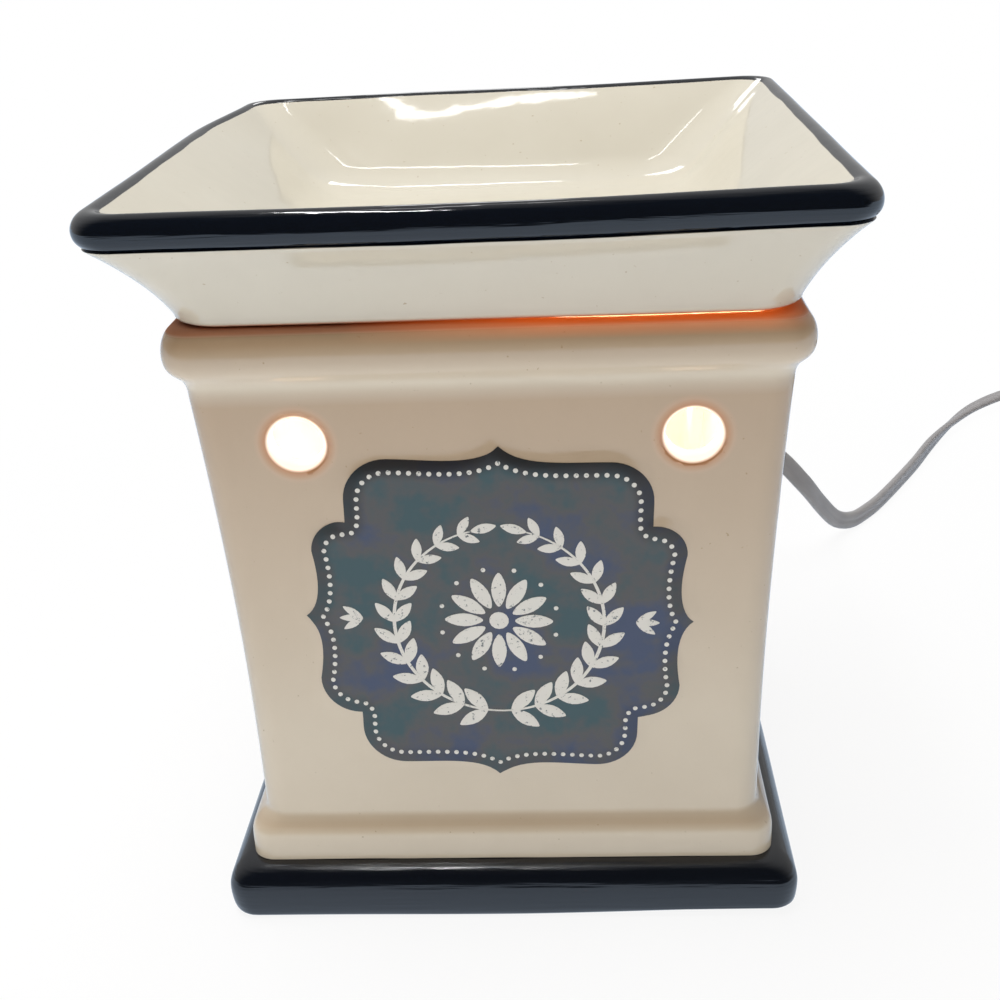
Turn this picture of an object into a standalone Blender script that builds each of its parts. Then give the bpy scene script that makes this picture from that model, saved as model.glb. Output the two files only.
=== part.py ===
"""Electric wax warmer: glazed earthenware body and lift-off dish, lamp, switched lead and plug.

Metres, +Z up. The warmer stands on z = 0, its front faces -Y and its middle is on the Z axis.
"""
import math

import bmesh
import bpy
from mathutils import Matrix, Vector

# Clearances
SEAT_GAP = 0.0003        # between pieces that rest on each other
BORE_GAP = 0.0004        # around a piece in its hole

# Earthenware body, from the table upwards
FOOT_HEIGHT = 0.0020
FOOT_DIAMETER = 0.0080
FOOT_EDGE = 0.0006
FOOT_INSET = 0.0066      # foot centre from the plinth's sides
PLINTH_HEIGHT = 0.0107
PLINTH_STEP = 0.0054     # how far the plinth stands out past the skirt
PLINTH_BULGE = 0.0043    # height of its widest line above its bottom edge
PLINTH_EDGE = 0.0011
PLINTH_CORNER = 0.0055
PLINTH_WALL = 0.0105
SKIRT_HEIGHT = 0.0105
SKIRT_FLARE = 0.0033     # how far the skirt runs out past the neck
NECK_WIDTH = 0.1140
WALL_HEIGHT = 0.1026
WALL_FLARE = 0.0038      # how far the wall leans out at its top
BODY_CORNER = 0.0058
BODY_WALL = 0.0050
COVE_HEIGHT = 0.0039
COLLAR_HEIGHT = 0.0110
COLLAR_OVERHANG = 0.0034
COLLAR_ROLL = 0.0027
SEAT_WIDTH = 0.0062      # flat ring on top that carries the dish
FLOOR_THICKNESS = 0.0050
CAVITY_FILLET = 0.0040

# Light holes and plaque in the front wall
LIGHT_HOLE_DIAMETER = 0.0128
LIGHT_HOLE_FROM_SIDE = 0.0205
LIGHT_HOLE_BELOW_WALL_TOP = 0.0101
PLAQUE_SIDE_MARGIN = 0.0156
PLAQUE_ABOVE_NECK = 0.0107
PLAQUE_BELOW_WALL_TOP = 0.0113
PLAQUE_RISE = 0.0009
PLAQUE_SINK = 0.0015
PLAQUE_SIDE_POINT = 0.0022
PLAQUE_TOP_POINT = 0.0031
PLAQUE_TOP_NOTCH_IN = 0.0096
PLAQUE_TOP_NOTCH_DOWN = 0.0175
PLAQUE_TOP_SIDE_CORNER = 0.0068
PLAQUE_FOOT_NOTCH_IN = 0.0110
PLAQUE_FOOT_NOTCH_UP = 0.0162
PLAQUE_FOOT_SIDE_CORNER = 0.0084
PLAQUE_CROWN_CORNER = 0.0090

# Wax dish
DISH_HEIGHT = 0.0253
DISH_PAST_SEAT = 0.0005  # how far its rounded base stands out past the collar's flat top
DISH_BASE_CORNER = 0.0095
DISH_BASE_EDGE = 0.0016
DISH_FLOOR = 0.0057
DISH_FLOOR_MARGIN = 0.0160
DISH_FLOOR_CORNER = 0.0120
DISH_FILLET_RISE = 0.0060
DISH_FILLET_WIDTH = 0.0090
DISH_SAG = 0.0010        # how far its outside hollows between base and rim
RIM_FLARE = 0.0120       # how far the rim stands out past the base
RIM_THICKNESS = 0.0056
RIM_HEIGHT = 0.0072
RIM_CORNER = 0.0070
RIM_STEP = 0.0012        # how far the rolled rim stands proud of the wall below it

# Lamp holder, on a threaded nipple through the floor
NIPPLE_DIAMETER = 0.0096
NIPPLE_WALL = 0.0015
NIPPLE_IN_HOLDER = 0.0060
NIPPLE_PAST_NUT = 0.0003
WASHER_RIM = 0.0062
WASHER_THICKNESS = 0.0010
NUT_WALL = 0.0022
NUT_HEIGHT = 0.0024
LOCK_NUT_ABOVE_COVER = 0.0008
HOLDER_BORE = 0.0152
HOLDER_WALL = 0.0044
HOLDER_HEIGHT = 0.0330
HOLDER_WEB = 0.0025
SHELL_WALL = 0.0006
SHELL_ABOVE_WEB = 0.0082
CONTACT_DIAMETER = 0.0070
CONTACT_HEIGHT = 0.0012
CONTACT_CHAMFER = 0.0007
TERMINAL_ABOVE_BASE = 0.0125
TERMINAL_HEAD = 0.0050
TERMINAL_HEAD_HEIGHT = 0.0014
TERMINAL_SHANK = 0.0026
TERMINAL_DEPTH = 0.0028

# Bulb
CAP_BELOW_HOLDER_TOP = 0.0034
CAP_WALL = 0.0004
CAP_CHAMFER = 0.0012
CAP_CHAMFER_HEIGHT = 0.0024
CAP_BASE = 0.0030
INSULATOR_HEIGHT = 0.0022
TIP_DIAMETER = 0.0044
TIP_HEIGHT = 0.0012
TIP_CHAMFER = 0.0006
GLASS_CEMENT = 0.0010    # around the glass in its cap
GLASS_ABOVE_CAP_BASE = 0.0040
GLASS_WALL = 0.0009
GLOBE_DIAMETER = 0.0500
GLOBE_SHOULDER = 0.0002  # where the neck starts to open, above the holder
GLOBE_NECK_RISE = 0.0056
GLOBE_SHOULDER_ANGLE = 12
STEM_DIAMETER = 0.0050
STEM_WAIST = 0.0030
STEM_HEIGHT = 0.0260
SUPPORT_WIRE = 0.0007
SUPPORT_HEIGHT = 0.0120
SUPPORT_SPREAD = 0.0110
FILAMENT_WIRE = 0.0006
FILAMENT_DROOP = 0.0013

# Underside
COVER_THICKNESS = 0.0020
COVER_LEDGE = 0.0030
COVER_LEDGE_DEPTH = 0.0042

# Flat twin lead and its strain relief in the back wall
CORD_WIDTH = 0.0062
CORD_THICKNESS = 0.0031
CORD_EXIT_HEIGHT = 0.0500
RELIEF_WALL = 0.0013
RELIEF_TIP_WALL = 0.0008
RELIEF_ROOT_STEP = 0.0012
RELIEF_FLANGE_STEP = 0.0021
RELIEF_FLANGE_THICKNESS = 0.0024
RELIEF_LENGTH = 0.0270
RELIEF_LIP_STEP = 0.0010
RELIEF_LIP_THICKNESS = 0.0020
RELIEF_LIP_CHAMFER = 0.0005
LEAD_DIAMETER = 0.0024
LEAD_SPACING = 0.0032
LEAD_STRAIGHT = 0.0060
LEAD_ARCH = 0.0020
LEAD_POINT_SPACING = 0.0050

# In-line switch with a thumb wheel; X runs along the lead
SWITCH_PLACE = (0.2480, 0.2640)
SWITCH_LENGTH = 0.0520
SWITCH_WIDTH = 0.0210
SWITCH_HEIGHT = 0.0150
SWITCH_WALL = 0.0016
SWITCH_ROUND = 0.0060
WHEEL_DIAMETER = 0.0172
WHEEL_THICKNESS = 0.0050
WHEEL_PROUD = 0.0028
WHEEL_RIBS = 24
WHEEL_GROOVE = 0.0005
AXLE_DIAMETER = 0.0026
AXLE_SOCKET = 0.0012
SWITCH_SCREW_SPACING = 0.0360
SWITCH_SCREW_SHANK = 0.0022
SWITCH_SCREW_HEAD = 0.0042
SWITCH_SCREW_SUNK = 0.0014
SWITCH_POST_WALL = 0.0007
STRIP_LENGTH = 0.0080
STRIP_WIDTH = 0.0040
STRIP_THICKNESS = 0.0008
STRIP_FROM_MIDDLE = 0.0096
LEAD_IN = 0.0060         # straight stretch of lead at each end of the switch

# Coil of spare lead, standing on edge in two layers, with its tie
COIL_CENTRE_X = 0.2620
COIL_FROM_WHEEL = 0.00355
COIL_RADIUS = 0.0406
COIL_TURNS_PER_LAYER = 2.75
COIL_CLIMB_TURNS = 0.5
COIL_TURN_GAP = 0.0006
COIL_LAYER_GAP = 0.0006
COIL_POINTS_PER_TURN = 24
TIE_THICKNESS = 0.0007
TIE_WIDTH = 0.0080
TIE_ANGLE = math.radians(200)

# Plug with two flat blades
PLUG_FROM_COIL = 0.0300
PLUG_LENGTH = 0.0300
PLUG_WIDTH = 0.0250
PLUG_HEIGHT = 0.0150
PLUG_CORNER = 0.0040
PLUG_NECK_WIDTH = 0.0130
PLUG_NECK_HEIGHT = 0.0100
PLUG_NECK_LENGTH = 0.0105
PLUG_SHOULDER = 0.0180   # where the full width begins
BLADE_SPACING = 0.0127
BLADE_LENGTH = 0.0160
BLADE_WIDTH = 0.0064
BLADE_THICKNESS = 0.0015

ROUND_STEPS = 24
CORNER_STEPS = 4
TURN = 2 * math.pi

# Widths that follow from the sizes above
WALL_TOP_WIDTH = NECK_WIDTH + 2 * WALL_FLARE
COLLAR_WIDTH = WALL_TOP_WIDTH + 2 * COLLAR_OVERHANG
SKIRT_WIDTH = NECK_WIDTH + 2 * SKIRT_FLARE
PLINTH_WIDTH = SKIRT_WIDTH + 2 * PLINTH_STEP
SEAT_OUTER = COLLAR_WIDTH / 2 - COLLAR_ROLL
DISH_BASE_WIDTH = 2 * (SEAT_OUTER + DISH_PAST_SEAT)
DISH_FLOOR_WIDTH = DISH_BASE_WIDTH - 2 * DISH_FLOOR_MARGIN
RIM_WIDTH = DISH_BASE_WIDTH + 2 * RIM_FLARE
PLAQUE_WIDTH = NECK_WIDTH - 2 * PLAQUE_SIDE_MARGIN
PLAQUE_HEIGHT = WALL_HEIGHT - PLAQUE_ABOVE_NECK - PLAQUE_BELOW_WALL_TOP
HOLDER_DIAMETER = HOLDER_BORE + 2 * HOLDER_WALL
CAP_RADIUS = HOLDER_BORE / 2 - 2 * BORE_GAP - SHELL_WALL
NIPPLE_HOLE = NIPPLE_DIAMETER + 2 * BORE_GAP
WASHER_DIAMETER = NIPPLE_DIAMETER + 2 * WASHER_RIM
NUT_ACROSS_FLATS = NIPPLE_DIAMETER + 2 * NUT_WALL
RELIEF_NECK = CORD_WIDTH + 2 * RELIEF_WALL
SWITCH_POST = SWITCH_SCREW_HEAD + 2 * SWITCH_POST_WALL
WHEEL_Y = (WHEEL_DIAMETER - SWITCH_WIDTH) / 2 - WHEEL_PROUD
COIL_PITCH = CORD_THICKNESS + COIL_TURN_GAP
COIL_CLIMB = CORD_WIDTH + COIL_LAYER_GAP
COIL_CENTRE = Vector((
    COIL_CENTRE_X,
    SWITCH_PLACE[1] + WHEEL_Y - WHEEL_DIAMETER / 2 - COIL_FROM_WHEEL - CORD_THICKNESS / 2 - COIL_RADIUS,
    0,
))

# Heights that follow from the sizes above
BASE_Z = FOOT_HEIGHT + SEAT_GAP
PLINTH_TOP = BASE_Z + PLINTH_HEIGHT
NECK_Z = PLINTH_TOP + SKIRT_HEIGHT
WALL_TOP = NECK_Z + WALL_HEIGHT
COLLAR_LOW = WALL_TOP + COVE_HEIGHT
BODY_TOP = COLLAR_LOW + COLLAR_HEIGHT
COVER_TOP = BASE_Z + COVER_LEDGE_DEPTH - SEAT_GAP
COVER_LOW = COVER_TOP - COVER_THICKNESS
COVER_NUT_LOW = COVER_LOW - SEAT_GAP - NUT_HEIGHT
LOCK_NUT_LOW = COVER_TOP + LOCK_NUT_ABOVE_COVER
FLOOR_WASHER_LOW = LOCK_NUT_LOW + NUT_HEIGHT + SEAT_GAP
FLOOR_LOW = FLOOR_WASHER_LOW + WASHER_THICKNESS + SEAT_GAP
FLOOR_TOP = FLOOR_LOW + FLOOR_THICKNESS
DISH_Z = BODY_TOP + SEAT_GAP
DISH_TOP = DISH_Z + DISH_HEIGHT
HOLDER_Z = FLOOR_TOP + WASHER_THICKNESS + 2 * SEAT_GAP
HOLDER_TOP = HOLDER_Z + HOLDER_HEIGHT
HOLDER_WEB_LOW = HOLDER_Z + NIPPLE_IN_HOLDER + SEAT_GAP
HOLDER_WEB_TOP = HOLDER_WEB_LOW + HOLDER_WEB
TERMINAL_Z = HOLDER_Z + TERMINAL_ABOVE_BASE
CONTACT_TOP = HOLDER_WEB_TOP + SEAT_GAP + CONTACT_HEIGHT
TIP_Z = CONTACT_TOP + SEAT_GAP
CAP_Z = TIP_Z + TIP_HEIGHT + INSULATOR_HEIGHT + 2 * SEAT_GAP
CAP_TOP = HOLDER_TOP - CAP_BELOW_HOLDER_TOP
COIL_LOW = TIE_THICKNESS + 2 * SEAT_GAP
SWITCH_SPLIT = SWITCH_HEIGHT / 2
AXLE_POST_TOP = SWITCH_SPLIT - WHEEL_THICKNESS / 2 - 2 * BORE_GAP


def linear(hex_colour):
    """An sRGB hex colour as linear RGBA."""
    parts = [int(hex_colour[i:i + 2], 16) / 255 for i in (0, 2, 4)]
    return [p / 12.92 if p <= 0.04045 else ((p + 0.055) / 1.055) ** 2.4 for p in parts] + [1.0]


def material(name, hex_colour, roughness, metallic=0.0):
    made = bpy.data.materials.new(name)
    made.use_nodes = True
    shader = made.node_tree.nodes["Principled BSDF"]
    shader.inputs["Base Color"].default_value = linear(hex_colour)
    shader.inputs["Roughness"].default_value = roughness
    shader.inputs["Metallic"].default_value = metallic
    return made


def new_object(name, data, parent=None):
    made = bpy.data.objects.new(name, data)
    bpy.context.scene.collection.objects.link(made)
    made.parent = parent
    return made


def finish_mesh(bm, name, finishes, parent=None, smooth=True):
    """Close a bmesh into a named object with its faces pointing out."""
    bmesh.ops.remove_doubles(bm, verts=bm.verts[:], dist=1e-7)
    bmesh.ops.recalc_face_normals(bm, faces=bm.faces[:])
    mesh = bpy.data.meshes.new(name)
    bm.to_mesh(mesh)
    bm.free()
    for finish in finishes:
        mesh.materials.append(finish)
    if smooth:
        mesh.shade_smooth()
        mesh.set_sharp_from_angle(angle=math.radians(35))
    return new_object(name, mesh, parent)


def hide_tool(tool):
    tool.hide_render = True
    tool.display_type = "WIRE"
    return tool


def boolean(target, tool, operation="DIFFERENCE"):
    change = target.modifiers.new(tool.name, "BOOLEAN")
    change.operation = operation
    change.object = hide_tool(tool)


def ring_of(bm, points):
    return [bm.verts.new(p) for p in points]


def skin(bm, low, high):
    """Join two rings of as many vertices with a band of quads."""
    for i in range(len(low)):
        bm.faces.new((low[i - 1], low[i], high[i], high[i - 1]))


def rounded_rectangle(half_x, half_y, corner, z, steps=CORNER_STEPS):
    """Points of a rectangle with round corners, counter-clockwise from its right side."""
    points = []
    for k, (sx, sy) in enumerate(((1, 1), (-1, 1), (-1, -1), (1, -1))):
        for i in range(steps + 1):
            angle = (k + i / steps) * math.pi / 2
            points.append(Vector((sx * (half_x - corner) + corner * math.cos(angle),
                                  sy * (half_y - corner) + corner * math.sin(angle), z)))
    return points


def loft(name, sections, finishes, parent=None, smooth=True):
    """A closed solid through point loops, with both ends filled."""
    bm = bmesh.new()
    rings = [ring_of(bm, section) for section in sections]
    for low, high in zip(rings, rings[1:]):
        skin(bm, low, high)
    bm.faces.new(rings[0])
    bm.faces.new(rings[-1])
    return finish_mesh(bm, name, finishes, parent, smooth)


def squares(levels):
    """Point loops for (half width, height, corner radius) levels."""
    return [rounded_rectangle(half, half, corner, z) for half, z, corner in levels]


def turned(name, profile, finish, parent=None, ring=False, steps=ROUND_STEPS):
    """A solid turned about Z from (radius, height) points; a ring's profile is closed."""
    bm = bmesh.new()
    verts = [bm.verts.new((radius, 0, z)) for radius, z in profile]
    edges = [bm.edges.new(pair) for pair in zip(verts, verts[1:])]
    if ring:
        edges.append(bm.edges.new((verts[-1], verts[0])))
    bmesh.ops.spin(bm, geom=verts + edges, axis=(0, 0, 1), cent=(0, 0, 0), angle=TURN,
                   steps=steps, use_merge=True)
    return finish_mesh(bm, name, [finish], parent)


def tube_ring(outer, inner, low, high):
    """Closed profile of a plain washer, bush or sleeve."""
    return [(inner, low), (inner, high), (outer, high), (outer, low)]


def cylinder_tool(name, diameter, start, end, steps=ROUND_STEPS):
    """A cylinder between two points, to cut a hole with or to add a post."""
    start, end = Vector(start), Vector(end)
    bm = bmesh.new()
    bmesh.ops.create_cone(bm, cap_ends=True, segments=steps, radius1=diameter / 2,
                          radius2=diameter / 2, depth=(end - start).length)
    turn = (end - start).to_track_quat("Z", "Y").to_matrix().to_4x4()
    bm.transform(Matrix.Translation((start + end) / 2) @ turn)
    return finish_mesh(bm, name, [])


def block(name, low, high, finish, parent):
    """A plain rectangular piece between two corners."""
    low, high = Vector(low), Vector(high)
    bm = bmesh.new()
    bmesh.ops.create_cube(bm, size=1)
    bmesh.ops.scale(bm, vec=high - low, verts=bm.verts)
    bmesh.ops.translate(bm, vec=(low + high) / 2, verts=bm.verts)
    return finish_mesh(bm, name, [finish], parent, smooth=False)


def smooth_route(points, spacing):
    """Evenly spaced points on a Catmull-Rom curve through the route's own points."""
    points = [Vector(p) for p in points]
    ends = [2 * points[0] - points[1]] + points + [2 * points[-1] - points[-2]]
    fine = []
    for a, b, c, d in zip(ends, ends[1:], ends[2:], ends[3:]):
        for i in range(20):
            t = i / 20
            fine.append(0.5 * (2 * b + (c - a) * t + (2 * a - 5 * b + 4 * c - d) * t ** 2
                               + (3 * b - a - 3 * c + d) * t ** 3))
    fine.append(points[-1])
    lengths = [0.0]
    for a, b in zip(fine, fine[1:]):
        lengths.append(lengths[-1] + (b - a).length)
    count = max(2, round(lengths[-1] / spacing))
    out, k = [], 0
    for i in range(count + 1):
        want = lengths[-1] * i / count
        while k < len(lengths) - 2 and lengths[k + 1] < want:
            k += 1
        share = (want - lengths[k]) / max(lengths[k + 1] - lengths[k], 1e-12)
        out.append(fine[k].lerp(fine[k + 1], min(1.0, share)))
    return out


def tube(name, points, finish, diameter, flat_width=None, tilts=None, sides=2):
    """A curve with a round section, or a flat one that stands on edge where its tilt is 0."""
    curve = bpy.data.curves.new(name, "CURVE")
    curve.dimensions = "3D"
    curve.twist_mode = "Z_UP"
    curve.bevel_depth = diameter / 2
    curve.bevel_resolution = sides
    curve.resolution_u = 1
    curve.use_fill_caps = True
    if flat_width:
        curve.extrude = (flat_width - diameter) / 2
    spline = curve.splines.new("POLY")
    spline.points.add(len(points) - 1)
    for i, point in enumerate(points):
        spline.points[i].co = (*point, 1)
        if tilts:
            spline.points[i].tilt = tilts[i]
    curve.materials.append(finish)
    return new_object(name, curve)


def twist(count, start, end, first=0.0, last=1.0):
    """Tilts that ease from one angle to another between two shares of a run."""
    tilts = []
    for i in range(count):
        share = min(1.0, max(0.0, (i / (count - 1) - first) / (last - first)))
        tilts.append(start + (end - start) * share * share * (3 - 2 * share))
    return tilts


def wall_half(z):
    """Half the body's outside width at a height on its wall, which hollows towards the neck."""
    share = min(1.0, max(0.0, (z - NECK_Z) / WALL_HEIGHT))
    return (NECK_WIDTH + (WALL_TOP_WIDTH - NECK_WIDTH) * share ** 2) / 2


def arc(centre, radii, start, end, steps):
    """Points of an ellipse's arc in degrees, as (half width, height) pairs."""
    for i in range(steps + 1):
        angle = math.radians(start + (end - start) * i / steps)
        yield centre[0] + radii[0] * math.cos(angle), centre[1] + radii[1] * math.sin(angle)


def outer_body_levels():
    """Plinth, skirt, hollowed wall, cove and collar, from the bottom edge to the dish's seat."""
    plinth, skirt, wall_top = PLINTH_WIDTH / 2, SKIRT_WIDTH / 2, WALL_TOP_WIDTH / 2
    bulge = BASE_Z + PLINTH_BULGE
    levels = [(plinth - PLINTH_EDGE, BASE_Z, PLINTH_CORNER)]
    for half, z in arc((skirt, bulge), (plinth - skirt, PLINTH_TOP - bulge), 0, 90, 5):
        levels.append((half, z, PLINTH_CORNER))
    for i in range(1, 6):
        share = i / 5
        ease = 0.5 + 0.5 * math.cos(math.pi * share ** 1.5)
        half = (NECK_WIDTH + (SKIRT_WIDTH - NECK_WIDTH) * ease) / 2
        levels.append((half, PLINTH_TOP + SKIRT_HEIGHT * share, BODY_CORNER))
    for i in range(1, 7):
        z = NECK_Z + WALL_HEIGHT * i / 6
        levels.append((wall_half(z), z, BODY_CORNER))
    cove_out, cove_up = 0.3, 0.7
    cove_half = wall_top + cove_out * (SEAT_OUTER - wall_top)
    levels.append((cove_half, WALL_TOP + cove_up * COVE_HEIGHT, BODY_CORNER))
    roll = (COLLAR_ROLL, COLLAR_HEIGHT / 2)
    for half, z in arc((SEAT_OUTER, COLLAR_LOW + roll[1]), roll, -90, 90, 6):
        levels.append((half, z, BODY_CORNER))
    return levels


def inner_body_levels():
    """Mouth, cavity wall and floor, from the dish's seat down to the floor's top."""
    levels = [(SEAT_OUTER - SEAT_WIDTH, BODY_TOP, BODY_CORNER)]
    low = FLOOR_TOP + CAVITY_FILLET
    for i in range(6, -1, -1):
        z = low + (WALL_TOP - low) * i / 6
        levels.append((wall_half(z) - BODY_WALL, z, BODY_CORNER))
    levels.append((wall_half(low) - BODY_WALL - CAVITY_FILLET, FLOOR_TOP, BODY_CORNER))
    return levels


def underside_levels():
    """Recess under the floor, with the ledge that the bottom cover seats against."""
    ledge = PLINTH_WIDTH / 2 - PLINTH_WALL
    recess = ledge - COVER_LEDGE
    return [
        (recess, FLOOR_LOW, BODY_CORNER),
        (recess, BASE_Z + COVER_LEDGE_DEPTH, BODY_CORNER),
        (ledge, BASE_Z + COVER_LEDGE_DEPTH, BODY_CORNER),
        (ledge, BASE_Z, BODY_CORNER),
    ]


def bezier(a, b, c, d, steps):
    """Points of a cubic curve after its first one."""
    for i in range(1, steps + 1):
        t = i / steps
        weights = ((1 - t) ** 3, 3 * (1 - t) ** 2 * t, 3 * (1 - t) * t ** 2, t ** 3)
        yield tuple(sum(w * p[k] for w, p in zip(weights, (a, b, c, d))) for k in (0, 1))


def plaque_quarter(notch_in, notch_down, side_corner):
    """Bracket-shaped outline from its right point round to its top point, about its centre."""
    right, top = PLAQUE_WIDTH / 2, PLAQUE_HEIGHT / 2
    side, crown = right - PLAQUE_SIDE_POINT, top - PLAQUE_TOP_POINT
    notch_x, notch_z = right - notch_in, top - notch_down
    side_z = notch_z - side_corner
    crown_x = notch_x - PLAQUE_CROWN_CORNER
    points = [(right, 0.0)]
    points += bezier(points[-1], (right - 1.4 * PLAQUE_SIDE_POINT, 0.15 * side_z),
                     (side - 0.7 * PLAQUE_SIDE_POINT, 0.5 * side_z), (side, side_z), 4)
    points += list(arc((side - side_corner, side_z), (side_corner,) * 2, 0, 90, 4))[1:]
    points.append((notch_x, notch_z))
    points += arc((crown_x, crown - PLAQUE_CROWN_CORNER), (PLAQUE_CROWN_CORNER,) * 2, 0, 90, 4)
    points += bezier(points[-1], (0.6 * crown_x, crown),
                     (0.2 * crown_x, crown - 0.5 * PLAQUE_TOP_POINT), (0.0, top), 5)
    return points


def plaque_outline():
    top = plaque_quarter(PLAQUE_TOP_NOTCH_IN, PLAQUE_TOP_NOTCH_DOWN, PLAQUE_TOP_SIDE_CORNER)
    foot = plaque_quarter(PLAQUE_FOOT_NOTCH_IN, PLAQUE_FOOT_NOTCH_UP, PLAQUE_FOOT_SIDE_CORNER)
    right = [(x, -z) for x, z in reversed(foot)] + top[1:]
    return right + [(-x, z) for x, z in reversed(right[1:-1])]


def make_plaque_tool(middle):
    """The plaque's raised slab, bent to the hollow of the front wall."""
    bm = bmesh.new()
    verts = [bm.verts.new((x, 0, middle + z)) for x, z in plaque_outline()]
    bmesh.ops.contextual_create(bm, geom=verts)
    for i in range(1, 8):
        height = middle - PLAQUE_HEIGHT / 2 + PLAQUE_HEIGHT * i / 8
        bmesh.ops.bisect_plane(bm, geom=bm.verts[:] + bm.edges[:] + bm.faces[:],
                               plane_co=(0, 0, height), plane_no=(0, 0, 1))
    front = bm.verts[:]
    grown = bmesh.ops.extrude_face_region(bm, geom=bm.faces[:])["geom"]
    back = [v for v in grown if isinstance(v, bmesh.types.BMVert)]
    for v in front:
        v.co.y = -wall_half(v.co.z) - PLAQUE_RISE
    for v in back:
        v.co.y = -wall_half(v.co.z) + PLAQUE_SINK
    return finish_mesh(bm, "plaque_tool", [], smooth=False)


def make_body(cream, dark):
    levels = inner_body_levels()[::-1] + outer_body_levels()[::-1] + underside_levels()[::-1]
    body = loft("body_shell", squares(levels), [cream, dark])
    for face in body.data.polygons:
        face.material_index = int(face.center.z < PLINTH_TOP and abs(face.normal.z) < 0.99)
    boolean(body, make_plaque_tool(NECK_Z + PLAQUE_ABOVE_NECK + PLAQUE_HEIGHT / 2), "UNION")
    outside, inside = PLINTH_WIDTH, NECK_WIDTH / 4
    hole_z = WALL_TOP - LIGHT_HOLE_BELOW_WALL_TOP
    for side in (-1, 1):
        x = side * (WALL_TOP_WIDTH / 2 - LIGHT_HOLE_FROM_SIDE)
        boolean(body, cylinder_tool(f"light_hole_tool_{side}", LIGHT_HOLE_DIAMETER,
                                    (x, -outside, hole_z), (x, -inside, hole_z)))
    boolean(body, cylinder_tool("cord_hole_tool", RELIEF_NECK + 2 * BORE_GAP,
                                (0, inside, CORD_EXIT_HEIGHT), (0, outside, CORD_EXIT_HEIGHT)))
    boolean(body, cylinder_tool("floor_hole_tool", NIPPLE_HOLE, (0, 0, 0), (0, 0, HOLDER_TOP)))


def dish_levels():
    """The dish's section from the middle of its floor, over the rolled rim, to its flat underside."""
    floor_z = DISH_Z + DISH_FLOOR
    floor = DISH_FLOOR_WIDTH / 2
    rim_low = DISH_TOP - RIM_HEIGHT
    rim_middle = RIM_WIDTH / 2 - RIM_THICKNESS / 2
    levels = [(floor - DISH_FILLET_WIDTH, floor_z, DISH_FLOOR_CORNER)]
    for half, z in arc((floor - DISH_FILLET_WIDTH, floor_z + DISH_FILLET_RISE),
                       (DISH_FILLET_WIDTH * 1.4, DISH_FILLET_RISE), -60, -20, 2):
        levels.append((half, z, DISH_FLOOR_CORNER))
    roll = (RIM_THICKNESS / 2, RIM_HEIGHT / 2)
    for half, z in arc((rim_middle, DISH_TOP - roll[1]), roll, 135, -90, 8):
        levels.append((half, z, RIM_CORNER))
    wall_top = RIM_WIDTH / 2 - RIM_STEP
    base = DISH_BASE_WIDTH / 2
    levels[-1] = (wall_top, rim_low, RIM_CORNER)
    for share in (1 / 3, 2 / 3):
        levels.append((wall_top + (base - wall_top) * share - DISH_SAG, rim_low + (DISH_Z - rim_low) * share,
                       RIM_CORNER + (DISH_BASE_CORNER - RIM_CORNER) * share))
    levels.append((base, DISH_Z + DISH_BASE_EDGE, DISH_BASE_CORNER))
    levels.append((base - DISH_BASE_EDGE, DISH_Z, DISH_BASE_CORNER))
    return levels


def make_dish(cream, dark):
    dish = loft("wax_dish", squares(dish_levels()), [cream, dark])
    for face in dish.data.polygons:
        face.material_index = int(face.center.z > DISH_TOP - RIM_HEIGHT)


def make_feet_and_cover(rubber, board, steel):
    place = PLINTH_WIDTH / 2 - FOOT_INSET
    radius = FOOT_DIAMETER / 2
    profile = [(0, FOOT_HEIGHT), (radius - FOOT_EDGE, FOOT_HEIGHT), (radius, FOOT_HEIGHT - FOOT_EDGE),
               (radius - FOOT_EDGE, 0), (0, 0)]
    corners = ((-1, -1), (1, -1), (1, 1), (-1, 1))
    for i, (sx, sy) in enumerate(corners, 1):
        foot = turned(f"foot_{i}", profile, rubber, steps=16)
        foot.location = (sx * place, sy * place, 0)
    half = PLINTH_WIDTH / 2 - PLINTH_WALL - SEAT_GAP
    levels = [(half, COVER_LOW, BODY_CORNER), (half, COVER_TOP, BODY_CORNER)]
    cover = loft("bottom_cover", squares(levels), [board], smooth=False)
    boolean(cover, cylinder_tool("cover_hole_tool", NIPPLE_HOLE, (0, 0, 0), (0, 0, FLOOR_TOP)))
    make_nut("cover_nut", COVER_NUT_LOW, steel)


def make_nut(name, low, finish):
    """Hexagon nut on the nipple."""
    bm = bmesh.new()
    radius = NUT_ACROSS_FLATS / math.sqrt(3)
    bmesh.ops.create_cone(bm, cap_ends=True, segments=6, radius1=radius, radius2=radius, depth=NUT_HEIGHT)
    bmesh.ops.translate(bm, vec=(0, 0, low + NUT_HEIGHT / 2), verts=bm.verts)
    nut = finish_mesh(bm, name, [finish], smooth=False)
    below, above = low - NUT_HEIGHT, low + 2 * NUT_HEIGHT
    boolean(nut, cylinder_tool(f"{name}_tool", NIPPLE_HOLE, (0, 0, below), (0, 0, above)))


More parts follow.
